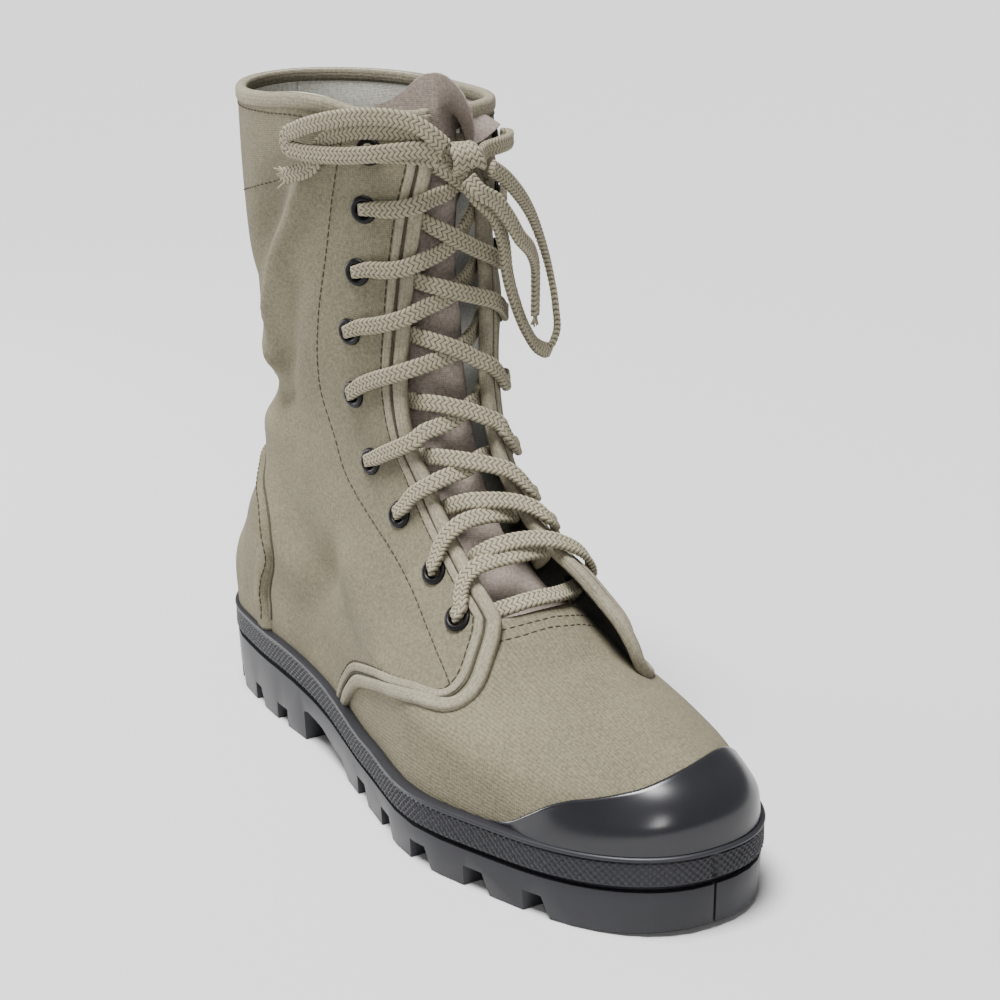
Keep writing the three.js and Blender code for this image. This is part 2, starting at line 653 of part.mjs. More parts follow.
function tube(points) {
  const path = new THREE.CatmullRomCurve3(points, false, 'centripetal');
  const steps = Math.min(80, Math.max(8, Math.round(path.getLength() / CORD_STEP * 1.6)));
  const ring = new THREE.Shape();
  range(0, 7, 7).forEach((k) => {
    const angle = 2 * Math.PI * k / 8;
    const x = CORD / 2 * Math.cos(angle);
    const y = CORD / 2 * Math.sin(angle);
    if (k === 0) ring.moveTo(x, y);
    else ring.lineTo(x, y);
  });
  const geometry = new THREE.ExtrudeGeometry(ring, { steps, extrudePath: path, bevelEnabled: false });
  return fromGeometry(geometry);
}

// Knot: one eyelet's lead, a turn and a half wound round the bow's middle, the other eyelet's lead
function knotPoints() {
  const turns = 1.5;
  const start = proud(0.487, 234.5, 11.6);
  const out = outward(0.5, 234.5);
  const up = new THREE.Vector3(0, 0, 1);
  const along = up.clone().cross(out).normalize();
  const wound = range(0, turns, 18).map((t) => {
    const angle = 2 * Math.PI * t;
    return start.clone().addScaledVector(along, KNOT_PITCH * t)
      .addScaledVector(out, -KNOT_ROUND * Math.cos(angle))
      .addScaledVector(up, KNOT_ROUND * Math.sin(angle));
  });
  return cordPoints(KNOT_LEAD).concat(wound, cordPoints(KNOT_TAIL));
}

const group = new THREE.Group();
group.name = 'canvas_boot';

function put(name, body, colour, roughness) {
  group.add(mesh(name, body, colour, roughness));
}

put('outsole', buildOutsole(), RUBBER_COLOUR, 0.6);
put('midsole_tray', buildTray(), RUBBER_COLOUR, 0.55);
put('upper', buildUpper(), CANVAS_COLOUR, 0.95);
put('tongue', buildTongue(), CANVAS_COLOUR, 0.95);
put('insole', buildInsole(), LINING_COLOUR, 0.95);
put('toe_cap', buildToeCap(), RUBBER_COLOUR, 0.3);
put('heel_counter', buildCounter(), CANVAS_COLOUR, 0.95);
put('collar_binding', buildCollarBinding(), CANVAS_COLOUR, 0.95);
put('edge_binding_outer', buildEdgeBinding(OUTER_QUARTER, 1), CANVAS_COLOUR, 0.95);
put('edge_binding_inner', buildEdgeBinding(INNER_QUARTER, -1), CANVAS_COLOUR, 0.95);
EYELETS.forEach(([u, h, across], i) => {
  put('eyelet_outer_' + (9 - i), buildEyelet(u, h), 0x1c1c1e, 0.35);
  put('eyelet_inner_' + (9 - i), buildEyelet(across, h), 0x1c1c1e, 0.35);
});
put('lace_bar', buildBar(), LACE_COLOUR, 0.9);
range(1, 8, 7).forEach((k) => put('lace_cross_' + k, buildCrossing(k - 1), LACE_COLOUR, 0.9));

// Move the built boot so that its resting box is centred over the origin
const box = new THREE.Box3();
group.children.forEach((child) => {
  child.geometry.computeBoundingBox();
  box.union(child.geometry.boundingBox);
});
put('lace_knot', tube(knotPoints()), LACE_COLOUR, 0.9);
put('lace_loop_left', tube(cordPoints(LEFT_LOOP)), LACE_COLOUR, 0.9);
put('lace_loop_right', tube(cordPoints(RIGHT_LOOP)), LACE_COLOUR, 0.9);
put('lace_end_left', tube(cordPoints(LEFT_END)), LACE_COLOUR, 0.9);
put('lace_end_right', tube(cordPoints(RIGHT_END)), LACE_COLOUR, 0.9);
const shift = new THREE.Vector3(-(box.min.x + box.max.x) / 2, -(box.min.y + box.max.y) / 2, -box.min.z);
group.children.forEach((child) => child.geometry.translate(shift.x, shift.y, shift.z));

export default group;
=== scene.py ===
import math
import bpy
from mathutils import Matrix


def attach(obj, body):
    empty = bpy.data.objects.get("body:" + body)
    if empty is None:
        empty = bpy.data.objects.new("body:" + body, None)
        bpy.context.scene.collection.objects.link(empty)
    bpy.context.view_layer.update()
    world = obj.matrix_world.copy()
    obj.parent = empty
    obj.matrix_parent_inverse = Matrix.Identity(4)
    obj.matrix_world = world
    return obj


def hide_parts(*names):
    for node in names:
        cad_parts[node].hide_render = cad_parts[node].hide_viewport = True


bl_info = {
    "name": "Canvas boot",
    "version": (1, 0, 0),
    "blender": (4, 5, 0),
    "location": "3D View > Sidebar > Boot",
    "description": "Dresses the packed boot with canvas, rubber, eyelets and a braided lace",
    "category": "Object",
}

import bmesh
import bpy
import numpy as np
from mathutils import Matrix, Vector

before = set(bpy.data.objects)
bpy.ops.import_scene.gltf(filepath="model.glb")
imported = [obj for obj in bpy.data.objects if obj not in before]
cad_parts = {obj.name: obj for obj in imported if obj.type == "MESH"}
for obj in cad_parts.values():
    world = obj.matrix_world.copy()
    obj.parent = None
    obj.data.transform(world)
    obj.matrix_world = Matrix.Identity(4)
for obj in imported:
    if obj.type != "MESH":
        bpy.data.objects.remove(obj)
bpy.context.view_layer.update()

# The boot is laid out in millimetres with the heel's back at x 0 and the toe at x 300.
# HOME moves it over the frame's origin.
HOME = np.array([-149.94, -2.82, 0.0])
LEDGE = 4.0  # the band's width beside the upper
FOREFOOT = 13.8  # height of the sole's top under the ball
BAND_TOP = FOREFOOT + 12.5
HEEL_LIFT = 8.9
TOE_SPRING = 3.0
STEP = 1.2  # how far the quarters stand off the skin
SOLE_LENGTH = 300.0
TOP = 250.0
TOE_SWING = 16.0

# One row per height: height, then the columns named here
BACK, FRONT, REAR_ROUND, FRONT_ROUND, FULLNESS, OUTER_HALF, INNER_HALF = range(1, 8)
SECTIONS = np.array([
    [26, 0, 292, 36, 57, 2.30, 36, 34],
    [36, -1.5, 291, 36, 60, 2.25, 36, 34],
    [46, -1.5, 285, 36, 72, 2.20, 36, 34],
    [54, 0, 273, 36, 92, 2.10, 35.5, 34],
    [62, 3, 250, 36, 108, 2, 35, 34],
    [72, 6, 226, 37, 108, 2, 34, 34],
    [86, 11, 203, 38, 96, 2, 33, 33.5],
    [104, 16, 184, 40, 84, 2, 31.5, 33],
    [126, 22, 168, 44, 74, 2, 30, 31.5],
    [150, 24, 156, 48, 66, 2, 32.5, 34.5],
    [180, 21.5, 149, 52, 62, 2, 37, 38.5],
    [215, 18.5, 146.5, 56, 60, 2, 39.5, 39.5],
    [250, 18, 146, 58, 60, 2, 40.5, 40],
], dtype=float)
OUTER_EDGE = np.array([[0, 37.5], [60, 40.5], [120, 38.5], [165, 45.1], [205, 51.7], [250, 43.8], [300, 39.8]])
INNER_EDGE = np.array([[0, 34], [60, 35], [125, 32], [170, 39], [215, 46], [250, 45.4], [300, 42.4]])
CENTRE = np.array([[0, 0], [150, 0], [225, 0.35], [300, 1]])

# How far the worn rim stands over or under the collar's level, round the boot
RIM = np.array([[0, 1.6], [.1, 1], [.2, .5], [.26, 2], [.31, 4], [.35, 3.5], [.385, .8], [.42, 0], [.5, 0], [.6, 0],
                [.75, 0], [.85, 1.2], [1, 1.6]])

# Edge of each quarter: collar, throat, lobe, then back to the sole, as place round the boot and height
OUTER_QUARTER = np.array([
    [0.478, 250], [0.478, 232], [0.464, 216], [0.448, 194], [0.432, 173], [0.412, 152], [0.403, 134], [0.411, 122],
    [0.421, 107.4], [0.431, 97], [0.440, 83], [0.434, 78], [0.411, 71], [0.378, 62], [0.355, 58], [0.331, 57],
    [0.304, 54], [0.280, 49.5], [0.253, 42.5], [0.239, 34], [0.231, 26], [0.227, 17],
])
INNER_QUARTER = np.array([
    [0.560, 250], [0.561, 232], [0.565, 216], [0.566, 194], [0.560, 173], [0.547, 152], [0.538, 134], [0.537, 122],
    [0.537, 107.4], [0.540, 97], [0.543, 85], [0.546, 79], [0.553, 71], [0.575, 64.5], [0.610, 60], [0.655, 57.5],
    [0.698, 54], [0.722, 49.5], [0.745, 42.5], [0.765, 34], [0.780, 26], [0.790, 17],
])
# Eyelets from the collar down: outer side place, height, inner side place
EYELETS = [
    (0.404, 236, 0.634), (0.395, 215.6, 0.639), (0.379, 193, 0.647), (0.355, 170.7, 0.660), (0.337, 147.1, 0.656),
    (0.338, 123.7, 0.645), (0.365, 108.2, 0.622), (0.391, 92.6, 0.614), (0.400, 80.3, 0.619),
]
EYELET_HOLE = 3.2
TAPE_SIDES = 14
LACE_SIDES = 20
LACE_STEP = 0.5  # distance between the lace's rings


def smooth(v):
    t = np.clip(v, 0, 1)
    return t * t * (3 - 2 * t)


def curve(table, v, column=1):
    """Smooth curve through a table's column."""
    x = table[:, 0]
    y = table[:, column]
    slope = np.gradient(y, x)
    v = np.clip(v, x[0], x[-1])
    i = np.clip(np.searchsorted(x, v, side="right") - 1, 0, len(x) - 2)
    span = x[i + 1] - x[i]
    t = (v - x[i]) / span
    t2 = t * t
    t3 = t2 * t
    return (y[i] * (2 * t3 - 3 * t2 + 1) + slope[i] * span * (t3 - 2 * t2 + t)
            + y[i + 1] * (3 * t2 - 2 * t3) + slope[i + 1] * span * (t3 - t2))


def lift(x):
    """Height of the sole's top over its forefoot level."""
    spring = np.clip((x - 0.72 * SOLE_LENGTH) / (0.28 * SOLE_LENGTH), 0, 1)
    return HEEL_LIFT * (1 - smooth((x - 70) / 90)) + TOE_SPRING * spring * spring


def skin(u, h, off=0.0):
    """Point of the boot's skin: u runs back, outer side, front (0.5), inner side; h is the height row."""
    u, h = np.broadcast_arrays(np.asarray(u, float), np.asarray(h, float))
    turn = u - np.floor(u)
    a = np.where(turn <= 0.5, 2 * turn, 2 - 2 * turn)
    row = np.clip(h, SECTIONS[0, 0], TOP)
    back = LEDGE + curve(SECTIONS, row, BACK) - off
    front = LEDGE + curve(SECTIONS, row, FRONT) + off
    x = back + (front - back) * (1 - np.cos(np.pi * a)) / 2
    blend = smooth((row - 50) / 60)
    full = curve(SECTIONS, row, FULLNESS)

    def dome(r):
        return (1 - (1 - np.clip(r, 0, 1)) ** full) ** (1 / full)

    rear = dome((x - back) / (curve(SECTIONS, row, REAR_ROUND) + off))
    cap = rear * dome((front - x) / (curve(SECTIONS, row, FRONT_ROUND) + off))
    centre = TOE_SWING * curve(CENTRE, x) * (1 - smooth((row - 60) / 90))
    outer = (curve(OUTER_EDGE, x) - LEDGE) * (1 - blend) + curve(SECTIONS, row, OUTER_HALF) * blend + off
    inner = (curve(INNER_EDGE, x) - LEDGE) * (1 - blend) + curve(SECTIONS, row, INNER_HALF) * blend + off
    y = np.where(turn <= 0.5, centre - outer * cap, centre + inner * cap)
    z = h + lift(x) * (1 - smooth((h - 30) / 75)) + curve(RIM, turn) * smooth((h - 236) / 14)
    return np.stack([x, y, z], -1)


def unit(v):
    return v / np.maximum(np.linalg.norm(v, axis=-1, keepdims=True), 1e-9)


def outward(u, h):
    """Way out of the skin at a place."""
    u = np.asarray(u, float)
    h = np.asarray(h, float)
    du = skin(u + 0.004, h) - skin(u - 0.004, h)
    dh = skin(u, h + 1) - skin(u, h - 1)
    return unit(np.cross(du, dh))


def stretch(table, steps):
    """Points of an edge table, filled in evenly: place and height."""
    keyed = np.column_stack([np.arange(len(table)), table])
    s = np.linspace(0, len(table) - 1, steps + 1)
    return curve(keyed, s, 1), curve(keyed, s, 2)


def run_along(points):
    """Distance from a line's start to each of its points."""
    return np.concatenate([[0], np.cumsum(np.linalg.norm(np.diff(points, axis=0), axis=1))])


def even(u, h, step):
    """Points along a line of places and heights, spaced evenly over the skin."""
    run = run_along(skin(u, h))
    s = np.linspace(0, run[-1], max(2, int(round(run[-1] / step)) + 1))
    return np.interp(s, run, u), np.interp(s, run, h)


# Folds of the worn canvas: places and heights along the fold, half width, height (minus for a hollow)
FOLDS = [
    ([(0.324, 223.5), (0.308, 216), (0.290, 208), (0.273, 200), (0.253, 191), (0.231, 180), (0.205, 169),
      (0.186, 158), (0.187, 148)], 6.5, 4.2),
    ([(0.285, 222), (0.262, 213), (0.236, 203), (0.210, 192), (0.185, 181)], 9, -5.0),
    ([(0.289, 184), (0.268, 174), (0.248, 162), (0.218, 149), (0.194, 138)], 6, -3.4),
    ([(0.276, 93), (0.255, 80), (0.228, 67), (0.203, 53)], 9, -3.0),
    ([(0.270, 190), (0.262, 176), (0.250, 160), (0.246, 146)], 9, 1.8),
    ([(0.090, 128), (0.133, 131), (0.170, 133), (0.205, 134)], 6.5, -5.0),
    ([(0.140, 150), (0.170, 149), (0.200, 148)], 6, 2.6),
    ([(0.100, 116), (0.135, 117), (0.190, 116)], 7, 1.6),
    ([(0.190, 92), (0.215, 80), (0.245, 66), (0.265, 58)], 11, -2.6),
    ([(0.240, 104), (0.265, 92), (0.290, 78), (0.315, 68)], 10, 1.5),
    ([(0.165, 84), (0.180, 70), (0.190, 56)], 6, 1.2),
    ([(0.060, 88), (0.100, 92), (0.130, 96)], 12, -3.2),
    ([(0.060, 66), (0.100, 68), (0.130, 72)], 12, -2.4),
    ([(0.140, 178), (0.172, 166), (0.175, 156)], 6, -2.0),
    ([(0.60, 205), (0.68, 196), (0.76, 184), (0.83, 176)], 12, -2.4),
    ([(0.64, 176), (0.72, 164), (0.80, 150), (0.88, 143)], 10, 2.0),
    ([(0.66, 150), (0.74, 141), (0.82, 132), (0.90, 128)], 8, -2.2),
    ([(0.70, 112), (0.75, 96), (0.79, 78), (0.80, 60)], 11, -1.8),
    ([(0.94, 150), (1.00, 146), (1.06, 148)], 6, -2.0),
    ([(0.93, 128), (1.00, 124), (1.07, 128)], 7, 1.4),
    ([(0.40, 66), (0.46, 70), (0.53, 71), (0.60, 66)], 5, -0.8),
    ([(0.39, 57), (0.46, 61), (0.54, 61), (0.61, 56)], 6, 0.7),
]


def folds(u, h):
    """Height of the canvas over the plain skin: listed folds and a soft unevenness."""
    p = skin(u, h)
    flat = p.reshape(-1, 3)
    total = np.zeros(len(flat))
    for places, width, height in FOLDS:
        table = np.array(places, float)
        fu, fh = stretch(table, 24)
        line = skin(fu, fh)
        taper = np.sin(np.pi * np.linspace(0.08, 0.92, len(fu))) ** 0.6
        low, high = line.min(0) - 3 * width, line.max(0) + 3 * width
        near = np.all((flat > low) & (flat < high), axis=1)
        gap = np.linalg.norm(flat[near][:, None, :] - line[None], axis=-1)
        if near.any():
            total[near] += height * (np.exp(-(gap / width) ** 2) * taper).max(axis=1)
    level = h.ravel()
    around = u.ravel() * 2 * np.pi
    up = level / 40
    soft = 0.35 * np.sin(3 * around + 1.7 * up) * np.sin(2 * up + 0.6) + 0.22 * np.sin(7 * around - 3.1 * up + 1.1)
    hold = smooth((level - 30) / 22) * (1 - 0.75 * smooth((level - 225) / 20))
    return ((total + soft) * hold).reshape(np.shape(h))


# How far each quarter's edge stands off the boot: height and lift, for the outer and the inner side
OUTER_LIFT = np.array([[50, 0], [60, .3], [72, .8], [90, 1.0], [120, .8], [150, .4], [200, .3], [250, 0]])
INNER_LIFT = np.array([[54, 0], [60, 0], [62, .3], [64, 2.2], [65.5, 5.4], [67, 8.4], [69, 10.8], [72, 12.2],
                       [76, 12.4], [84, 12.2], [90, 10.6], [97, 7.6], [105, 4.8], [115, 2.6], [126, 1.2], [150, .5],
                       [200, .3], [220, 0], [234, -2.5], [250, -5.5]])
LIFT_REACH = 21.0  # how far from the edge the canvas follows it
LIFT_ROWS = 16  # rows of a quarter's table whose edge is loose
BATCH = 4000  # points measured at once


def facing_lift(u, h):
    """How far a loose front edge lifts the canvas off the boot at a place."""
    p = skin(u, h).reshape(-1, 3)
    rise = np.zeros(len(p))
    for table, lifts in ((OUTER_QUARTER, OUTER_LIFT), (INNER_QUARTER, INNER_LIFT)):
        eu, eh = stretch(table[:LIFT_ROWS], 160)
        edge = skin(eu, eh)
        for start in range(0, len(p), BATCH):
            gap = np.linalg.norm(p[start:start + BATCH, None, :] - edge[None], axis=-1)
            near = gap.min(axis=1)
            share = np.exp((near[:, None] - gap) / 3.0)
            loose = (share * curve(lifts, eh)[None]).sum(axis=1) / share.sum(axis=1)
            rise[start:start + BATCH] += loose * np.exp(-(near / LIFT_REACH) ** 2)
    return rise.reshape(np.shape(u))


def collar_lean(u, h):
    """How far the collar's front corner on the inner side leans in."""
    return 2.5 * np.exp(-((u - 0.57) / 0.03) ** 2) * smooth((h - 212) / 34)


def collar_sag(u, h):
    """How far the collar's front corner on the inner side has sunk."""
    return 9.0 * smooth((0.622 - u) / 0.055) * smooth((h - 205) / 45) * (u > 0.5)


def canvas_at(u, h, off, loose=True):
    """Point on the worn canvas at a distance off the skin. Loose canvas follows the quarters' lifted edges."""
    u, h = np.broadcast_arrays(np.asarray(u, float), np.asarray(h, float))
    rise = folds(u, h) + off
    if loose:
        rise = rise + facing_lift(u, h) - collar_lean(u, h)
    p = skin(u, h) + outward(u, h) * rise[..., None]
    if loose:
        p[..., 2] -= collar_sag(u, h)
    return p


def home(points):
    """Frame position in metres of millimetre points."""
    return (np.asarray(points) + HOME) / 1000.0


def finish_mesh(name, verts, faces, material, uv, shade=None):
    """Mesh object from millimetre points and faces, with a UV per point and a painted shade per point."""
    mesh = bpy.data.meshes.new(name)
    mesh.from_pydata([tuple(p) for p in home(verts)], [], [tuple(f) for f in faces])
    loops = np.empty(len(mesh.loops), dtype=np.int32)
    mesh.loops.foreach_get("vertex_index", loops)
    layer = mesh.uv_layers.new(name="cloth")
    layer.data.foreach_set("uv", np.asarray(uv, dtype=np.float32)[loops].ravel())
    if shade is not None:
        colour = mesh.color_attributes.new(name="shade", type="FLOAT_COLOR", domain="POINT")
        values = np.ones((len(verts), 4), dtype=np.float32)
        values[:, :3] = np.asarray(shade, dtype=np.float32)[:, None]
        colour.data.foreach_set("color", values.ravel())
    mesh.polygons.foreach_set("use_smooth", np.ones(len(mesh.polygons), dtype=bool))
    mesh.materials.append(material)
    mesh.validate()
    mesh.update()
    piece = bpy.data.objects.new(name, mesh)
    bpy.context.scene.collection.objects.link(piece)
    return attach(piece, "root")


def grid_faces(rows, cols, wrap=False):
    """Quads between the rows and columns of a grid, closed from the last column to the first where it wraps."""
    j, i = np.meshgrid(np.arange(rows - 1), np.arange(cols if wrap else cols - 1), indexing="ij")
    n = (i + 1) % cols
    return np.stack([j * cols + i, j * cols + n, (j + 1) * cols + n, (j + 1) * cols + i], -1).reshape(-1, 4)


def slab(name, outer, inner, material, uv, shade=None, keep=None):
    """Closed sheet between two grids of points, joined round its rim and round any holes."""
    rows, cols = outer.shape[:2]
    count = rows * cols
    verts = np.concatenate([outer.reshape(-1, 3), inner.reshape(-1, 3)])
    quads = grid_faces(rows, cols)
    if keep is not None:
        quads = quads[keep.ravel()]
    edges = np.concatenate([quads[:, [k, (k + 1) % 4]] for k in range(4)])
    key = edges[:, 0].astype(np.int64) * count + edges[:, 1]
    back = edges[:, 1].astype(np.int64) * count + edges[:, 0]
    rim = edges[~np.isin(key, back)]
    side = np.stack([rim[:, 1], rim[:, 0], rim[:, 0] + count, rim[:, 1] + count], -1)
    faces = np.concatenate([quads, quads[:, ::-1] + count, side])
    m, r, d = outer[rows // 2, cols // 2], outer[rows // 2, cols // 2 + 1], outer[rows // 2 + 1, cols // 2]
    if np.dot(np.cross(r - m, d - m), m - inner[rows // 2, cols // 2]) < 0:
        faces = faces[:, ::-1]
    used = np.unique(faces)
    fresh = np.full(len(verts), -1)
    fresh[used] = np.arange(len(used))
    both = np.concatenate([uv.reshape(-1, 2)] * 2)[used]
    tone = None if shade is None else np.concatenate([shade.ravel()] * 2)[used]
    return finish_mesh(name, verts[used], fresh[faces], material, both, shade=tone)


def sweep(points, ups, section):
    """Rings of a section along a line. section is (n, 2): across, then up. Returns (stations, n, 3)."""
    run = unit(np.gradient(points, axis=0))
    side = unit(np.cross(ups, run))
    tall = unit(np.cross(run, side))
    return points[:, None, :] + side[:, None, :] * section[None, :, :1] + tall[:, None, :] * section[None, :, 1:]


def tube_faces(rows, cols):
    """Faces of a tube of rings, with a cap on each end."""
    body = [tuple(f) for f in grid_faces(rows, cols, wrap=True)]
    return body + [tuple(range(cols))[::-1], tuple(range((rows - 1) * cols, rows * cols))]


def ring_faces(rows, cols):
    """Faces of a body whose last ring joins its first."""
    here = np.arange(cols)
    there = (here + 1) % cols
    last = (rows - 1) * cols
    join = np.stack([last + here, last + there, there, here], -1)
    return [tuple(f) for f in np.concatenate([grid_faces(rows, cols, wrap=True), join])]


def outward_faces(verts, faces):
    """Faces turned so that the closed body faces out."""
    volume = 0.0
    for f in faces:
        a = verts[f[0]]
        for k in range(1, len(f) - 1):
            volume += np.dot(a, np.cross(verts[f[k]], verts[f[k + 1]]))
    return [tuple(reversed(f)) for f in faces] if volume < 0 else faces


def swept_piece(name, bodies, material):
    """One object from several swept bodies, each (rings, uv)."""
    verts, uvs, faces, start = [], [], [], 0
    for rings, uv in bodies:
        rows, cols = rings.shape[:2]
        flat = rings.reshape(-1, 3)
        local = outward_faces(flat, tube_faces(rows, cols))
        faces += [tuple(k + start for k in f) for f in local]
        verts.append(flat)
        uvs.append(uv.reshape(-1, 2))
        start += rows * cols
    return finish_mesh(name, np.concatenate(verts), faces, material, np.concatenate(uvs))


def sheet_uv(points):
    """Weave coordinates in millimetres over a grid: along its rows from the last column, and down its columns."""
    across = np.linalg.norm(np.diff(points, axis=1), axis=-1)[:, ::-1]
    along = np.pad(np.cumsum(across, axis=1)[:, ::-1], ((0, 0), (0, 1)))
    down = np.pad(np.cumsum(np.linalg.norm(np.diff(points, axis=0), axis=-1), axis=0), ((1, 0), (0, 0)))
    return np.stack([along, -down], -1)


def over_uv(points):
    """Weave coordinates in millimetres over the forefoot: along the boot and over it from side to side."""
    middle = TOE_SWING * curve(CENTRE, points[..., 0])
    return np.stack([points[..., 0], 42 * np.arctan2(points[..., 1] - middle, points[..., 2] + 5)], -1)


# Materials

BRAID_SLANT = 0.75  # how far a strand runs along the lace, in braid steps, on its way across a column

def node(tree, kind, at, **values):
    """Shader node with its settings. in_N sets input N to a value, or links a socket to it."""
    made = tree.nodes.new(kind)
    made.location = at
    for key, value in values.items():
        if not key.startswith("in_"):
            setattr(made, key, value)
        elif isinstance(value, bpy.types.NodeSocket):
            tree.links.new(value, made.inputs[int(key[3:])])
        else:
            made.inputs[int(key[3:])].default_value = value
    return made


def maths(tree, operation, at, *terms):
    """Result of a sum on sockets and numbers."""
    inputs = {"in_%d" % k: term for k, term in enumerate(terms)}
    return node(tree, "ShaderNodeMath", at, operation=operation, **inputs).outputs[0]


def new_group(name, inputs, outputs):
    """Node group with its sockets: the group, its input node and its output node."""
    group = bpy.data.node_groups.new(name, "ShaderNodeTree")
    for label, kind, value in inputs:
        socket = group.interface.new_socket(name=label, in_out="INPUT", socket_type="NodeSocket" + kind)
        if value is not None:
            socket.default_value = value
    for label in outputs:
        group.interface.new_socket(name=label, in_out="OUTPUT", socket_type="NodeSocketFloat")
    return group, node(group, "NodeGroupInput", (-900, 0)), node(group, "NodeGroupOutput", (900, 0))


def weave_group():
    """Plain weave from cloth coordinates in millimetres: a height and a tone."""
    name = "Plain weave"
    if name in bpy.data.node_groups:
        return bpy.data.node_groups[name]
    inputs = [("Cloth", "Vector", None), ("Thread", "Float", 0.55), ("Place", "Vector", None)]
    g, start, end = new_group(name, inputs, ["Height", "Tone"])
    cloth, thread, place = start.outputs[:3]
    split = node(g, "ShaderNodeSeparateXYZ", (-700, 0), in_0=cloth)
    wander = node(g, "ShaderNodeTexNoise", (-700, -200), in_0=cloth, in_2=0.35)
    drift = maths(g, "MULTIPLY", (-500, -200), wander.outputs[0], 0.9)
    waves = []
    for k in range(2):
        low = 100 - 200 * k
        moved = maths(g, "ADD", (-450, low), split.outputs[k], drift)
        turn = maths(g, "MULTIPLY", (-150, low), maths(g, "DIVIDE", (-300, low), moved, thread), math.pi)
        waves.append(maths(g, "SINE", (0, low), turn))
    over = maths(g, "MULTIPLY_ADD", (150, 0), maths(g, "MULTIPLY", (80, 0), waves[0], waves[1]), 0.5, 0.5)
    warp = maths(g, "MULTIPLY", (300, 100), maths(g, "ABSOLUTE", (200, 100), waves[0]), over)
    rest = maths(g, "SUBTRACT", (300, -50), 1.0, over)
    weft = maths(g, "MULTIPLY", (400, -100), maths(g, "ABSOLUTE", (200, -100), waves[1]), rest)
    height = maths(g, "ADD", (500, 0), warp, weft)
    speck = node(g, "ShaderNodeTexNoise", (300, -350), in_0=place, in_2=950.0, in_3=2.0)
    sharp = node(g, "ShaderNodeMapRange", (450, -350), in_0=speck.outputs[0], in_1=0.3, in_2=0.7, in_3=0.0, in_4=0.5)
    # The tone is a random speckle plus the thread height, so the gaps between threads are darker: painted shade.
    tone = maths(g, "ADD", (650, -150), sharp.outputs[0], maths(g, "MULTIPLY", (560, -300), height, 0.45))
    g.links.new(height, end.inputs[0])
    g.links.new(tone, end.inputs[1])
    return g


def patchy_group():
    """Soft uneven tone over the whole piece and a fine grain, from its own coordinates in metres."""
    name = "Patchy wear"
    if name in bpy.data.node_groups:
        return bpy.data.node_groups[name]
    g, start, end = new_group(name, [("Place", "Vector", None), ("Scale", "Float", 22.0)], ["Tone", "Grain"])
    place, scale = start.outputs[:2]
    big = node(g, "ShaderNodeTexNoise", (-300, 100), in_0=place, in_2=scale, in_3=3.0)
    fine = node(g, "ShaderNodeTexNoise", (-300, -150), in_0=place, in_2=900.0, in_3=2.0)
    g.links.new(big.outputs[0], end.inputs[0])
    g.links.new(fine.outputs[0], end.inputs[1])
    return g


def braid_group():
    """Herringbone braid from lace coordinates: across in columns, along in millimetres."""
    name = "Herringbone braid"
    if name in bpy.data.node_groups:
        return bpy.data.node_groups[name]
    g, start, end = new_group(name, [("Lace", "Vector", None), ("Pitch", "Float", 2.5)], ["Height", "Tone"])
    split = node(g, "ShaderNodeSeparateXYZ", (-700, 0), in_0=start.outputs[0])
    across, along = split.outputs[:2]
    slant = maths(g, "MULTIPLY", (-400, 100), maths(g, "PINGPONG", (-500, 100), across, 1.0), BRAID_SLANT)
    phase = maths(g, "ADD", (-300, 0), maths(g, "DIVIDE", (-500, -100), along, start.outputs[1]), slant)
    cell = maths(g, "ABSOLUTE", (0, 0), maths(g, "SINE", (-100, 0), maths(g, "MULTIPLY", (-200, 0), phase, math.pi)))
    column = maths(g, "SINE", (-100, 200), maths(g, "MULTIPLY", (-200, 200), across, math.pi))
    seam = maths(g, "POWER", (150, 200), maths(g, "ABSOLUTE", (0, 200), column), 0.5)
    ridge = maths(g, "MULTIPLY_ADD", (300, 200), seam, 0.5, 0.5)
    height = maths(g, "MULTIPLY", (450, 0), maths(g, "POWER", (150, 0), cell, 0.6), ridge)
    thread = maths(g, "SINE", (300, -200), maths(g, "MULTIPLY", (150, -200), phase, 26.0))
    # The tone follows the braid's relief, so its hollows come out darker: painted shade.
    tone = maths(g, "MULTIPLY_ADD", (600, -100), thread, 0.07, height)
    g.links.new(height, end.inputs[0])
    g.links.new(tone, end.inputs[1])
    return g


def start_material(name, roughness, specular=0.5):
    """New material with its node tree and its shader."""
    material = bpy.data.materials.new(name)
    material.use_nodes = True
    tree = material.node_tree
    shader = tree.nodes["Principled BSDF"]
    shader.inputs["Roughness"].default_value = roughness
    shader.inputs["Specular IOR Level"].default_value = specular
    return material, tree, shader


def ramp_colour(tree, tone, low, high, span, at):
    """Colour between two tones, as a mask runs over its span."""
    made = node(tree, "ShaderNodeValToRGB", at, in_0=tone)
    for stop, place, colour in zip(made.color_ramp.elements, span, (low, high)):
        stop.position = place
        stop.color = (*colour, 1)
    return made.outputs[0]


def times(tree, first, second, at):
    """Product of two colours."""
    made = node(tree, "ShaderNodeMix", at, data_type="RGBA", blend_type="MULTIPLY", in_0=1.0, in_6=first, in_7=second)
    return made.outputs[2]


def scaled(colour, factor):
    return tuple(min(1.0, c * factor) for c in colour)


def add_bump(tree, shader, height, strength, depth):
    """Fine relief on the shader's normal, with its depth in metres."""
    bump = node(tree, "ShaderNodeBump", (-350, -300), in_0=strength)
    bump.inputs["Distance"].default_value = depth
    tree.links.new(height, bump.inputs["Height"])
    tree.links.new(bump.outputs[0], shader.inputs["Normal"])


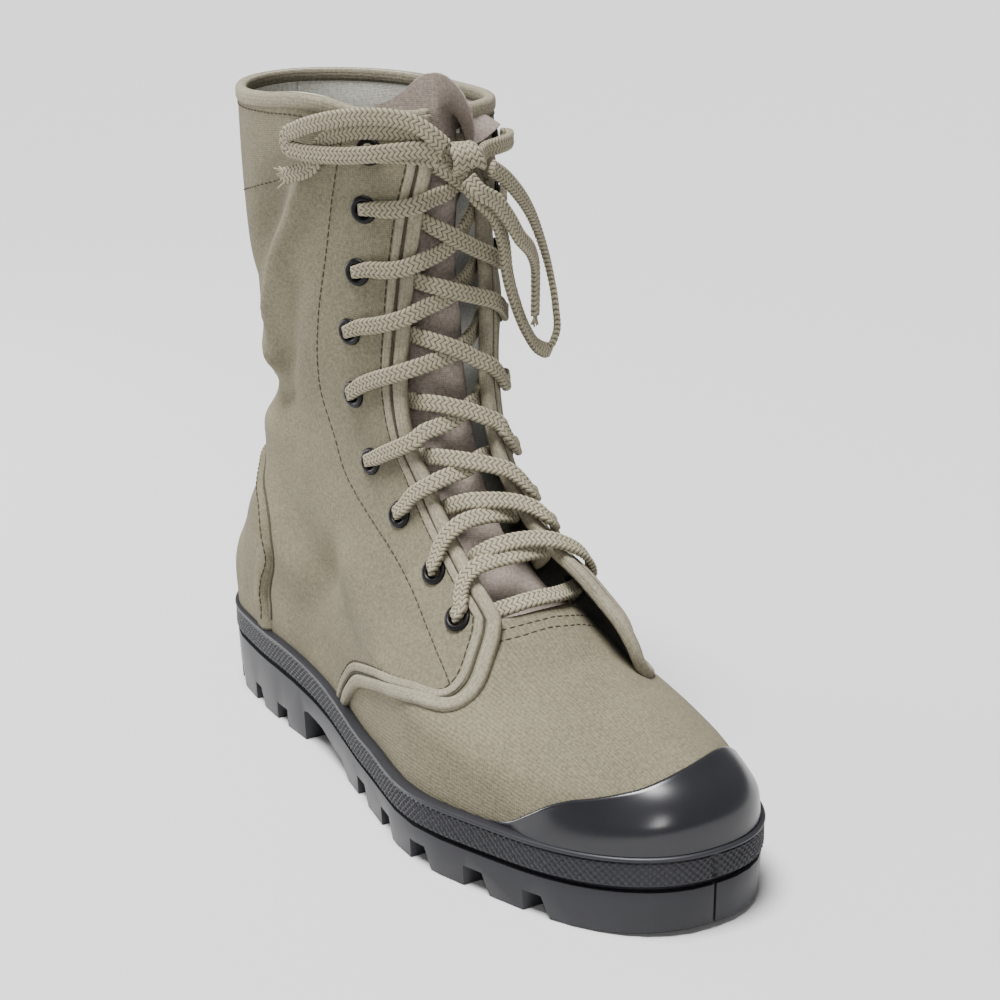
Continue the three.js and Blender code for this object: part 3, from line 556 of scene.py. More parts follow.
def cloth_material(name, colour, thread, painted_shade=False):
    """Woven cloth in a colour, its threads a pitch in millimetres apart."""
    if name in bpy.data.materials:
        return bpy.data.materials[name]
    material, tree, shader = start_material(name, 0.92, 0.22)
    cloth = node(tree, "ShaderNodeUVMap", (-1200, 0), uv_map="cloth")
    place = node(tree, "ShaderNodeTexCoord", (-1200, -300)).outputs["Object"]
    weave = node(tree, "ShaderNodeGroup", (-950, 0), node_tree=weave_group(), in_0=cloth.outputs[0], in_1=thread,
                 in_2=place)
    wear = node(tree, "ShaderNodeGroup", (-950, -300), node_tree=patchy_group(), in_0=place)
    woven = ramp_colour(tree, weave.outputs["Tone"], scaled(colour, 0.62), scaled(colour, 1.32), (0.12, 0.95),
                        (-650, 0))
    patchy = ramp_colour(tree, wear.outputs["Tone"], (0.84, 0.84, 0.85), (1.0, 1.0, 0.985), (0.36, 0.6), (-650, -300))
    base = times(tree, woven, patchy, (-350, 0))
    # Painted shade: the mesh's shade tone darkens the cloth.
    if painted_shade:
        tone = node(tree, "ShaderNodeAttribute", (-650, 250), attribute_name="shade")
        base = times(tree, base, tone.outputs["Color"], (-150, 100))
    tree.links.new(base, shader.inputs["Base Color"])
    add_bump(tree, shader, weave.outputs["Height"], 0.55, 0.00022)
    return material


def rubber_material(name, colour, roughness, grain, gloss):
    """Moulded rubber with a slightly uneven tone and gloss."""
    if name in bpy.data.materials:
        return bpy.data.materials[name]
    material, tree, shader = start_material(name, roughness, gloss)
    place = node(tree, "ShaderNodeTexCoord", (-1200, 0)).outputs["Object"]
    wear = node(tree, "ShaderNodeGroup", (-950, 0), node_tree=patchy_group(), in_0=place)
    tone = wear.outputs["Tone"]
    base = ramp_colour(tree, tone, scaled(colour, 0.82), scaled(colour, 1.25), (0.3, 0.7), (-600, 0))
    tree.links.new(base, shader.inputs["Base Color"])
    rough = node(tree, "ShaderNodeMapRange", (-600, -250), in_0=tone, in_3=roughness * 0.85,
                 in_4=min(1.0, roughness * 1.2))
    tree.links.new(rough.outputs[0], shader.inputs["Roughness"])
    add_bump(tree, shader, wear.outputs["Grain"], grain, 0.0001)
    return material


def braid_material(name, colour, pitch):
    """Braided lace in a colour, its steps a pitch in millimetres apart."""
    if name in bpy.data.materials:
        return bpy.data.materials[name]
    material, tree, shader = start_material(name, 0.85, 0.25)
    lace = node(tree, "ShaderNodeUVMap", (-1200, 0), uv_map="cloth")
    braid = node(tree, "ShaderNodeGroup", (-950, 0), node_tree=braid_group(), in_0=lace.outputs[0], in_1=pitch)
    # The dark end of the ramp is painted shade in the braid's hollows.
    dark, bright = scaled(colour, 0.16), scaled(colour, 1.25)
    base = ramp_colour(tree, braid.outputs["Tone"], dark, bright, (0.12, 0.72), (-600, 0))
    tree.links.new(base, shader.inputs["Base Color"])
    add_bump(tree, shader, braid.outputs["Height"], 0.7, 0.0003)
    return material


def enamel_material(name, colour):
    """Dark enamel on metal."""
    if name in bpy.data.materials:
        return bpy.data.materials[name]
    material, _, shader = start_material(name, 0.42, 0.22)
    shader.inputs["Base Color"].default_value = (*colour, 1)
    return material


# Pieces

CANVAS = (0.172, 0.154, 0.104)
TONGUE_CLOTH = (0.285, 0.238, 0.205)
LINING = (0.84, 0.80, 0.68)
TAPE = (0.25, 0.225, 0.162)
LACE = (0.232, 0.208, 0.146)
RUBBER = (0.0165, 0.0165, 0.0198)


def settings():
    return bpy.context.scene.boot_settings


def quarter_grid(side, rows, cols):
    """Places and heights over a quarter: rows run down its front edge, columns from that edge to the back."""
    eu, eh = even(*stretch(OUTER_QUARTER if side > 0 else INNER_QUARTER, 400), 0.5)
    pick = np.linspace(0, len(eu) - 1, rows).round().astype(int)
    eu, eh = eu[pick, None], eh[pick, None]
    back = 0.0 if side > 0 else 1.0
    back_h = (np.linspace(eh[0, 0], eh[-1, 0], rows)[:, None] + eh) / 2
    t = np.linspace(0, 1, cols)[None, :]
    return eu + (back - eu) * t, eh + (back_h - eh) * t


def eyelet_keep(u, h, side):
    """Which quads of a grid stay: all but the ones over a side's eyelets."""
    middle = skin((u[:-1, :-1] + u[1:, 1:]) / 2, (h[:-1, :-1] + h[1:, 1:]) / 2)
    keep = np.ones(middle.shape[:2], dtype=bool)
    for outer, level, inner in EYELETS:
        keep &= np.linalg.norm(middle - skin(outer if side > 0 else inner, level), axis=-1) > EYELET_HOLE
    return keep


def quarter(side, name, material, off_out, off_in, rows, cols, painted_shade=False):
    """One quarter's sheet, pierced for its eyelets. With painted shade, it darkens down inside the shaft."""
    u, h = quarter_grid(side, rows, cols)
    # Painted shade: the lining darkens down inside the shaft, where shade falls.
    shade = 0.16 + 0.84 * smooth((h - 226) / 18) if painted_shade else None
    over = canvas_at(u, h, off_out)
    return slab(name, over, canvas_at(u, h, off_in), material, sheet_uv(over), shade, eyelet_keep(u, h, side))


def quarter_edge(side, step, inset, high):
    """Places and heights evenly along a quarter's free edge, moved in by an inset."""
    table = OUTER_QUARTER if side > 0 else INNER_QUARTER
    u, h = stretch(table, 600)
    keep = (h < high) & (h > 18)
    u, h = even(u[keep], h[keep], step)
    p = skin(u, h)
    du = np.linalg.norm(skin(u + 0.002, h) - p, axis=-1) / 0.002
    dh = np.linalg.norm(skin(u, h + 1) - p, axis=-1)
    run_u, run_h = np.gradient(u) * du, np.gradient(h) * dh
    length = np.hypot(run_u, run_h)
    turn = -1 if side > 0 else 1
    return u + turn * (-run_h / length) * inset / du, h + turn * (run_u / length) * inset / dh


def line_on_skin(places, step):
    """Places and heights evenly along a listed line."""
    return even(*stretch(np.array(places, float), 40 * len(places)), step)


def rounded_section(half, thick, count, power):
    """Section between an ellipse and a box, as half its width and half its thickness."""
    turn = np.linspace(0, 2 * np.pi, count, endpoint=False)
    c, s = np.cos(turn), np.sin(turn)
    return np.stack([half * np.sign(c) * np.abs(c) ** power, thick * np.sign(s) * np.abs(s) ** power], -1)


def tape_body(u, h, off, half, thick):
    """Rounded tape swept along a line on the canvas."""
    p = canvas_at(u, h, off)
    rings = sweep(p, outward(u, h), rounded_section(half, thick, TAPE_SIDES, 0.6))
    across = np.linspace(0, 4 * half, TAPE_SIDES)
    return rings, np.stack(np.broadcast_arrays(across[None, :], run_along(p)[:, None]), -1)


# One stitch: place along it from end to end, and height over the cloth
STITCH = np.array([[-1.0, 0.0], [-0.82, 0.55], [-0.4, 0.95], [0.4, 0.95], [0.82, 0.55], [1.0, 0.0]])


def stitches(u, h, off, pitch, size=0.3, share=0.86, loose=True):
    """Stitch bodies along a line on the canvas: short threads with gaps between."""
    p = canvas_at(u, h, off, loose)
    n = outward(u, h)
    run = run_along(p)
    bodies = []
    turn = np.linspace(0, 2 * np.pi, 6, endpoint=False)
    for k in range(int(run[-1] / pitch)):
        s = (k + 0.5) * pitch + STITCH[:, 0] * pitch * share / 2
        q = np.stack([np.interp(s, run, p[:, a]) for a in range(3)], -1)
        up = np.stack([np.interp(s, run, n[:, a]) for a in range(3)], -1)
        q = q + up * (0.25 * STITCH[:, 1] - 0.15)[:, None]
        r = np.maximum(STITCH[:, 1], 0.12) * size
        side = unit(np.cross(up, unit(np.gradient(q, axis=0))))
        rings = q[:, None, :] + side[:, None, :] * (r[:, None] * np.cos(turn))[..., None] \
            + up[:, None, :] * (0.8 * r[:, None] * np.sin(turn))[..., None]
        bodies.append((rings, np.zeros(rings.shape[:2] + (2,))))
    return bodies


def ribbon(points, sides, values, width_scale=None):
    """Flat herringbone lace swept along points; sides is the way its width lies."""
    wide, thick, pitch = values.lace_width * 1000, values.lace_thick * 1000, values.braid_pitch * 1000
    run = unit(np.gradient(points, axis=0))
    side = unit(sides - run * (sides * run).sum(-1, keepdims=True))
    up = np.cross(run, side)
    scale = np.ones(len(points)) if width_scale is None else width_scale
    along = run_along(points)
    turn = np.linspace(0, 2 * np.pi, LACE_SIDES, endpoint=False)
    c, s = np.cos(turn), np.sin(turn)
    sx = np.sign(c) * np.abs(c) ** 0.7
    sy = np.sign(s) * np.abs(s) ** 0.7
    column = (sx + 1) * 2
    slant = 1 - np.abs((column % 2) - 1)
    phase = along[:, None] / pitch + slant[None, :] * BRAID_SLANT
    cell = np.abs(np.sin(np.pi * phase)) ** 0.6
    seam = 0.5 + 0.5 * np.abs(np.sin(np.pi * column)) ** 0.5
    bulge = values.braid_relief * 1000 * (cell * seam[None, :] - 0.6)
    x = (wide / 2 * scale)[:, None] * sx[None, :] + bulge * np.abs(c)[None, :] * np.sign(c)[None, :] * 0.6
    y = (thick / 2 * (2 - scale) ** 0.5)[:, None] * sy[None, :] + bulge * sy[None, :]
    rings = points[:, None, :] + side[:, None, :] * x[..., None] + up[:, None, :] * y[..., None]
    uv = np.stack(np.broadcast_arrays(column[None, :], along[:, None]), -1)
    return rings, uv


def spline(points, step):
    """Smooth line through points, spaced evenly."""
    p = np.asarray(points, float)
    gap = np.concatenate([[0], np.cumsum(np.maximum(np.linalg.norm(np.diff(p[:, :3], axis=0), axis=1), 1e-6))])
    fine = np.linspace(0, gap[-1], max(8, int(gap[-1] / step) * 3))
    out = np.stack([curve(np.stack([gap, p[:, a]], -1), fine) for a in range(p.shape[1])], -1)
    run = run_along(out[:, :3])
    even_run = np.linspace(0, run[-1], int(run[-1] / step) + 1)
    return np.stack([np.interp(even_run, run, out[:, a]) for a in range(p.shape[1])], -1)


# Each crossing from the lowest up, from its own eyelet over to the other facing: place, height, distance off the skin
BAR = [(0.505, 86.2, 2.2), (0.4792, 85.9, 2.2), (0.4605, 85.1, 1.8), (0.4419, 84.3, 0.2), (0.425, 82.6, -1.6)]
BAR_INNER = [(0.505, 86.2, 2.2), (0.532, 85.6, 2.2), (0.562, 84.4, 2.4), (0.590, 82.5, 3.0)]
FROM_OUTER = [
    [(0.4079, 82.6, 3.4), (0.4144, 86.2, 3.7), (0.4241, 90.2, 4.2), (0.4388, 93.7, 4.2), (0.4617, 96.3, 1.8),
     (0.4912, 97.1, 0.2), (0.530, 96.6, -1.2)],
    [(0.3994, 96.1, 3.3), (0.4106, 100.7, 3.6), (0.4252, 104.6, 4.2), (0.4421, 107.8, 3.8), (0.4624, 109.9, 1.4),
     (0.4881, 110.5, 0.0), (0.5136, 110.0, -1.5)],
    [(0.3791, 112.1, 3.2), (0.390, 115.3, 3.5), (0.4072, 118.4, 4.2), (0.4211, 120.5, 4.2), (0.433, 122.3, 2.8),
     (0.450, 124.1, 0.8), (0.470, 125.8, -0.4), (0.5026, 128.9, -2.0)],
    [(0.3493, 125.7, 3.2), (0.3696, 128.9, 3.5), (0.3913, 131.9, 4.1), (0.4123, 134.7, 4.2), (0.4281, 138.0, 2.5),
     (0.4451, 139.7, 0.8), (0.4639, 141.3, -0.2), (0.4903, 144.2, -1.2), (0.5236, 146.9, -2.6)],
    [(0.3569, 151.7, 3.2), (0.3799, 155.0, 3.5), (0.4039, 157.4, 4.2), (0.4282, 159.7, 3.8), (0.4524, 161.7, 1.2),
     (0.4742, 163.4, 0.2), (0.5006, 165.1, -0.8), (0.5316, 168.0, -2.6)],
    [(0.3744, 173.6, 3.2), (0.3938, 174.8, 3.5), (0.4164, 176.6, 4.2), (0.4368, 178.6, 3.8), (0.457, 181.2, 1.4),
     (0.4776, 183.1, 0.2), (0.4968, 184.9, -0.6), (0.5249, 188.0, -2.4)],
    [(0.3956, 194.7, 3.2), (0.4129, 194.8, 3.5), (0.4346, 195.7, 4.2), (0.4541, 197.5, 3.7), (0.4726, 199.2, 1.2),
     (0.4927, 201.3, 0.0), (0.5144, 204.2, -0.8), (0.5424, 208.9, -2.6)],
    [(0.4091, 216.3, 3.2), (0.4236, 216.2, 3.5), (0.4444, 217.0, 4.2), (0.4602, 218.1, 3.7), (0.4788, 219.8, 1.2),
     (0.5002, 221.2, 0.0), (0.5215, 224.0, -1.0), (0.5509, 226.9, -2.4)],
]
FROM_INNER = [
    [(0.598, 83.2, 4.4), (0.574, 88.1, 4.8), (0.549, 93.6, 4.8), (0.5319, 97.0, 4.6), (0.516, 99.4, 3.2),
     (0.4892, 100.7, 2.4), (0.4656, 100.0, 2.4), (0.4468, 98.5, 0.8), (0.4302, 96.9, -2.6)],
    [(0.600, 99.0, 3.8), (0.575, 101.3, 4.4), (0.5505, 104.0, 5.0), (0.5374, 108.3, 4.8), (0.523, 111.7, 3.2),
     (0.5036, 113.9, 2.2), (0.482, 114.9, 2.0), (0.4615, 115.3, 1.4), (0.4384, 114.4, -0.4), (0.4159, 113.0, -2.8)],
    [(0.605, 109.6, 3.4), (0.576, 111.6, 4.0), (0.554, 113.8, 4.8), (0.5414, 118.0, 5.2), (0.530, 121.8, 4.8),
     (0.5124, 124.7, 3.4), (0.4863, 127.3, 2.4), (0.4665, 128.6, 2.0), (0.4464, 129.4, 1.2), (0.4256, 129.7, -0.6),
     (0.405, 129.0, -2.8)],
    [(0.620, 124.6, 3.2), (0.590, 127.0, 3.6), (0.562, 130.0, 4.4), (0.5449, 134.5, 5.1), (0.538, 138.0, 4.8),
     (0.5191, 141.2, 3.4), (0.5003, 144.0, 2.4), (0.4799, 145.8, 2.0), (0.4606, 147.2, 1.6), (0.4372, 148.0, 0.0),
     (0.4112, 147.9, -2.8)],
    [(0.630, 147.6, 3.2), (0.600, 148.8, 3.6), (0.573, 150.6, 4.4), (0.5578, 154.5, 5.0), (0.5401, 158.4, 4.8),
     (0.5209, 161.7, 3.0), (0.5017, 165.1, 2.2), (0.482, 167.6, 2.0), (0.4637, 169.4, 1.2), (0.4461, 170.9, -0.6),
     (0.4292, 171.6, -2.8)],
    [(0.630, 171.6, 3.2), (0.594, 174.8, 4.2), (0.5725, 178.3, 5.0), (0.5525, 181.2, 4.8), (0.5333, 183.4, 3.0),
     (0.5031, 186.2, 2.2), (0.4842, 188.0, 1.8), (0.4666, 189.4, 0.6), (0.4521, 190.6, -1.2), (0.4378, 191.6, -2.9)],
    [(0.622, 192.2, 3.4), (0.5965, 192.6, 4.2), (0.5732, 194.5, 5.0), (0.5569, 197.2, 4.4), (0.5358, 200.4, 2.6),
     (0.5137, 203.9, 2.2), (0.4947, 207.0, 1.8), (0.4778, 209.7, 0.4), (0.4668, 211.5, -1.4), (0.4534, 213.3, -2.9)],
    [(0.620, 213.4, 3.4), (0.5969, 213.9, 4.2), (0.5733, 215.8, 5.0), (0.5534, 218.4, 4.0), (0.5315, 222.1, 2.2),
     (0.5113, 226.5, 1.6), (0.4934, 229.7, 0.6), (0.4765, 232.0, -1.2), (0.4623, 233.8, -2.9)],
]


def lace_path(side):
    """Control points of one half of the laced run, from the bar's middle up to the top eyelet, and its eyelets."""
    outer = side > 0
    pts = list(BAR if outer else BAR_INNER)
    eyes = []
    for k, (outer_u, h, inner_u) in enumerate(EYELETS[::-1]):
        u, away = (outer_u, -0.003) if outer else (inner_u, 0.003)
        eyes.append((u, h))
        pts += [(u - 4 * away, h, -4.2), (u, h, -2.4), (u + away, h, 0.4), (u + 0.5 * away, h + 0.2, 2.4)]
        if k < len(FROM_OUTER):
            pts += (FROM_OUTER if outer else FROM_INNER)[k]
            outer = not outer
    return pts, eyes


def placed(rows):
    """Points for rows of place, height and distance off the skin."""
    table = np.array(rows, float)
    return skin(table[:, 0], table[:, 1]) + outward(table[:, 0], table[:, 1]) * table[:, 2:3]


def up_throat(u, h):
    """Way up the boot along its skin."""
    return unit(skin(u, h + 2) - skin(u, h - 2))


def lace_run(side):
    """Points and width directions of one half of the laced run."""
    pts, eyes = lace_path(side)
    pts = np.array(pts, float)
    worn = pts.copy()
    start = len(BAR_INNER)
    u, h, off = pts[start:].T
    worn[start:, 2] += facing_lift(u, h) * smooth((off + 3.5) / 2.5)
    line = spline(np.column_stack([placed(worn), pts]), LACE_STEP)
    p = line[:, :3]
    scale = np.ones(len(p))
    for eye in eyes:
        scale = np.minimum(scale, 1 - 0.36 * np.exp(-(np.linalg.norm(p - skin(*eye), axis=-1) / 5.0) ** 2))
    return p, up_throat(line[:, 3], line[:, 4]), scale


# Eyelet turned about its own axis: radius, then height over the canvas
EYELET_PROFILE = [
    (2.65, -3.2), (3.4, -3.2), (4.3, -2.9), (4.6, -2.4), (3.2, -2.1), (3.1, 1.1), (4.8, 1.1), (5.0, 1.4), (4.95, 1.8),
    (4.7, 2.15), (4.3, 2.4), (3.8, 2.5), (3.3, 2.4), (2.95, 2.1), (2.75, 1.7), (2.65, 1.0), (2.65, -2.6),
]


def eyelet_mesh(name, u, h, material):
    """One eyelet set in the canvas, with its barrel through it."""
    normal = outward(u, h)
    centre = canvas_at(u, h, 0)
    across = unit(np.cross(normal, [0.2, 0.1, 1.0]))
    turn = np.linspace(0, 2 * np.pi, 36, endpoint=False)[:, None]
    ring = np.cos(turn) * across + np.sin(turn) * np.cross(normal, across)
    verts = np.concatenate([centre + r * ring + z * normal for r, z in EYELET_PROFILE])
    faces = outward_faces(verts, ring_faces(len(EYELET_PROFILE), len(ring)))
    return finish_mesh(name, verts, faces, material, np.zeros((len(verts), 2)))


def lace_braid(values):
    return braid_material("Lace braid", tuple(values.lace), values.braid_pitch * 1000)


def cord_piece(name, line, sides, values):
    """A run of lace."""
    piece = swept_piece(name, [ribbon(line, sides, values)], lace_braid(values))
    return piece


# Settings and operators

def size(name, text, value, low, high):
    return bpy.props.FloatProperty(name=name, description=text, default=value, min=low, max=high,
                                   subtype="DISTANCE", unit="LENGTH", precision=4)


def hue(name, text, value):
    return bpy.props.FloatVectorProperty(name=name, description=text, default=value, size=3, min=0, max=1,
                                         subtype="COLOR")


class BootSettings(bpy.types.PropertyGroup):
    """Sizes and colours of the boot's dressing."""

    lace_width: size("Lace width", "Width of the flat lace", 0.0062, 0.003, 0.02)
    lace_thick: size("Lace thickness", "Thickness of the flat lace", 0.0026, 0.001, 0.006)
    braid_pitch: size("Braid pitch", "Length of one braid step along the lace", 0.0019, 0.001, 0.01)
    braid_relief: size("Braid relief", "How far the braid's steps stand out", 0.0006, 0.0, 0.002)
    thread: size("Thread pitch", "Distance between canvas threads", 0.00078, 0.0002, 0.003)
    tape_half: size("Binding half width", "Half the width of the edge binding", 0.0025, 0.001, 0.006)
    stitch_pitch: size("Stitch pitch", "Length of one stitch", 0.0031, 0.001, 0.01)
    knurl_pitch: size("Knurl pitch", "Pitch of the sole band's knurling", 0.0026, 0.001, 0.006)
    canvas: hue("Canvas", "Canvas of the upper", CANVAS)
    tongue: hue("Tongue", "Cloth of the tongue", TONGUE_CLOTH)
    lining: hue("Lining", "Cloth inside the shaft", LINING)
    tape: hue("Binding", "Tape along the edges", TAPE)
    lace: hue("Lace", "Braided lace", LACE)
    rubber: hue("Rubber", "Sole, band and toe", RUBBER)
    eyelet: hue("Eyelet", "Enamelled eyelets", (0.0025, 0.002, 0.002))


def canvas_cloth(values):
    return cloth_material("Canvas", tuple(values.canvas), values.thread * 1000)


def tape_cloth(values):
    return cloth_material("Binding tape", tuple(values.tape), values.thread * 700)


# Upper edge of the vamp: place and height
VAMP_TOP = np.array([[.17, 56], [.30, 70], [.40, 78], [.4385, 81.8], [.4668, 83.3], [.4948, 84.2], [.53, 83.9],
                     [.582, 80.5], [.62, 76], [.70, 68], [.83, 56]])
VAMP_FOOT = 22


class BOOT_OT_upper(bpy.types.Operator):
    """Canvas vamp and quarters with their lining."""
    bl_idname = "boot.upper"
    bl_label = "Upper"

    def execute(self, context):
        values = settings()
        cloth = canvas_cloth(values)
        inside = cloth_material("Lining cloth", tuple(values.lining), values.thread * 800, painted_shade=True)
        u, part = np.meshgrid(np.linspace(VAMP_TOP[0, 0], VAMP_TOP[-1, 0], 260), np.linspace(0, 1, 80))
        h = VAMP_FOOT + (curve(VAMP_TOP, u) - VAMP_FOOT) * part
        over = canvas_at(u, h, 0.1, False)
        vamp = slab("vamp", over, canvas_at(u, h, -1.5, False), cloth, over_uv(over))
        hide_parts("upper")
        for side, label in ((1, "outer"), (-1, "inner")):
            quarter(side, "quarter_" + label, cloth, STEP, -0.2, 280, 114)
            quarter(side, "lining_" + label, inside, -0.25, -1.75, 140, 64, True)
        return {"FINISHED"}


# What runs beside the quarters' edges: how far in, and how high it ends on the outer and the inner side
GROOVE_INSET = 4.6
STRIP_INSET = 6.4
SEAM_INSET = 8.3
STRIP_TOP = {1: 244.0, -1: 225.0}
COLLAR_TAPE = 247.6  # height of the collar tape's middle


class BOOT_OT_bindings(bpy.types.Operator):
    """Rolled tape along the quarters' edges and round the collar."""
    bl_idname = "boot.bindings"
    bl_label = "Bindings"

    def execute(self, context):
        values = settings()
        tape = tape_cloth(values)
        half = values.tape_half * 1000
        for side, label in ((1, "outer"), (-1, "inner")):
            u, h = quarter_edge(side, 1.2, half - 0.7, 249.0)
            piece = swept_piece("edge_tape_" + label, [tape_body(u, h, -0.15, half, 2.25)], tape)
            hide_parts("edge_binding_" + label)
            u, h = quarter_edge(side, 1.2, STRIP_INSET, STRIP_TOP[side])
            swept_piece("raised_strip_" + label, [tape_body(u, h, STEP, 1.5, 0.75)], tape)
        u = np.linspace(0.478, -0.440, 400)
        tuck = smooth((u - 0.466) / 0.012) + smooth((-u - 0.430) / 0.010)
        body = tape_body(u, np.full(u.shape, COLLAR_TAPE), -0.2 - 2.4 * tuck, 2.8, 2.2)
        piece = swept_piece("collar_tape", [body], tape)
        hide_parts("collar_binding")
        return {"FINISHED"}


# Free edge of the heel counter: height, and its place round either side
COUNTER_EDGE = np.array([
    [26.9, .152], [34, .150], [42, .150], [50, .155], [58, .163], [66, .170], [74, .170], [81, .165], [87, .155],
    [92, .139], [96, .118], [99, .088], [101, .05],
])


def counter_rise(u, h):
    """How far the heel counter's worn face stands off the skin."""
    edge = np.minimum((curve(COUNTER_EDGE, h) - np.abs(u)) * 330, 101.4 - h)
    roll = np.sqrt(1 - (1 - np.clip(edge / 2.0, 0, 1)) ** 2) * (1 - 0.3 * smooth((edge - 3.4) / 2.2))
    wrinkle = 0.6 * np.sin(u * 230 + 1.5 * np.sin(h / 11)) * smooth((h - 30) / 10) * smooth((92 - h) / 20)
    return STEP + 0.05 + 2.5 * roll + wrinkle * (0.35 + 0.65 * np.exp(-((edge - 5) / 6) ** 2)) * roll


class BOOT_OT_counter(bpy.types.Operator):
    """Raised canvas patch round the heel."""
    bl_idname = "boot.counter"
    bl_label = "Heel counter"

    def execute(self, context):
        values = settings()
        h = np.linspace(26.6, 101, 84)[:, None]
        t = np.linspace(-1, 1, 180)[None, :]
        u, h = np.broadcast_arrays(curve(COUNTER_EDGE, h) * t, h)
        over = canvas_at(u, h, counter_rise(u, h))
        piece = slab("counter_patch", over, canvas_at(u, h, STEP - 0.4), canvas_cloth(values), sheet_uv(over))
        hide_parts("heel_counter")
        return {"FINISHED"}


# Upper edge of the toe cap: place and height
TOE_EDGE = np.array([
    [.352, 25.4], [.366, 27.8], [.379, 33], [.390, 37], [.404, 40.4], [.420, 42.4], [.437, 44.3], [.454, 45.9],
    [.473, 47.8], [.493, 49.3], [.515, 50.2], [.535, 50.2], [.552, 49.5], [.570, 47.6], [.588, 43.5], [.604, 37.5],
    [.618, 31], [.630, 25.8],
])


class BOOT_OT_toe(bpy.types.Operator):
    """Glossy rubber toe cap."""
    bl_idname = "boot.toe"
    bl_label = "Toe cap"

    def execute(self, context):
        u = np.linspace(TOE_EDGE[0, 0], TOE_EDGE[-1, 0], 220)[None, :]
        t = np.linspace(0, 1, 56)[:, None] ** 0.85
        top = curve(TOE_EDGE, u) + 0.5
        foot = np.minimum(26.0, top - 0.5)
        h = foot + (top - foot) * t
        u, h = np.broadcast_arrays(u, h)
        down = top - h
        roll = np.sqrt(np.maximum(1 - (1 - np.clip(down / 1.0, 0, 1)) ** 2, 0))
        body = (1.0 + 2.2 * smooth(down / 15)) * smooth((u - 0.349) / 0.03) * smooth((0.633 - u) / 0.03)
        over = canvas_at(u, h, 0.15 + body * roll, False)
        shiny = rubber_material("Glossy rubber", scaled(tuple(settings().rubber), 0.7), 0.24, 0.02, 0.5)
        piece = slab("toe_bumper", over, canvas_at(u, h, -0.4, False), shiny, over_uv(over))
        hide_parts("toe_cap")
        return {"FINISHED"}


def sole_ring(u, rise, off):
    """Points round the sole at a rise over the forefoot's level and a distance off the skin."""
    p = skin(u, BAND_TOP, off)
    p[..., 2] = FOREFOOT + rise + lift(p[..., 0])
    return p


# Cuts in the outsole's side that the plain solid leaves out: middle in millimetres, then size
SOLE_CUTS = [((76, -40, 2.4), (9, 30, 9.2)), ((76, 40, 2.4), (9, 30, 9.2)), ((301, 16, 7), (6.0, 1.0, 30))]
SHARP = 0.6  # angle from which an edge of the sole is bevelled and kept crisp
SOLE_BEVEL = 0.0006  # in metres
# Band from its foot up: distance off the skin and rise over the forefoot's level, under and over the knurled face
BAND_LOW = [(-1.0, -0.1), (1.3, -0.1), (1.6, 0.05), (1.7, 0.9), (1.9, 1.7), (3.3, 2.0), (3.7, 2.2)]
BAND_LIP = [(3.2, 10.45), (3.2, 10.7), (4.1, 10.95), (4.45, 11.3), (4.55, 11.7), (4.45, 12.1), (4.1, 12.4),
            (3.5, 12.55), (-1.0, 12.5)]
KNURL_FOOT = 2.4
KNURL_HEIGHT = 7.8
KNURL_ROWS = 21
AROUND = 1500  # points round the band


def lugged_sole(material):
    """The outsole with its extra cuts, bevelled edges and smooth walls."""
    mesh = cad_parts["outsole"].data.copy()
    mesh.transform(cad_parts["outsole"].matrix_world)
    sole = bpy.data.objects.new("lugged_outsole", mesh)
    bpy.context.scene.collection.objects.link(sole)
    for middle, span in SOLE_CUTS:
        bpy.ops.mesh.primitive_cube_add(size=1, location=tuple(home(middle)))
        block = bpy.context.active_object
        block.scale = tuple(v / 1000 for v in span)
        cut = sole.modifiers.new("cut", "BOOLEAN")
        cut.operation = "DIFFERENCE"
        cut.solver = "EXACT"
        cut.object = block
        bpy.context.view_layer.update()
        fresh = bpy.data.meshes.new_from_object(sole.evaluated_get(bpy.context.evaluated_depsgraph_get()))
        sole.modifiers.clear()
        sole.data = fresh
        bpy.data.objects.remove(block)
    work = bmesh.new()
    work.from_mesh(sole.data)
    bmesh.ops.remove_doubles(work, verts=work.verts, dist=1e-5)
    bmesh.ops.dissolve_limit(work, angle_limit=0.01, verts=work.verts, edges=work.edges)
    crisp = [e for e in work.edges if len(e.link_faces) == 2 and e.calc_face_angle(0) > SHARP]
    bmesh.ops.bevel(work, geom=crisp, offset=SOLE_BEVEL, segments=2, profile=0.5, affect="EDGES", clamp_overlap=True)
    for face in work.faces:
        face.smooth = True
    for edge in work.edges:
        edge.smooth = len(edge.link_faces) == 2 and edge.calc_face_angle(0) < SHARP
    bmesh.ops.triangulate(work, faces=work.faces)
    work.to_mesh(sole.data)
    work.free()
    sole.data.materials.clear()
    sole.data.materials.append(material)
    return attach(sole, "root")


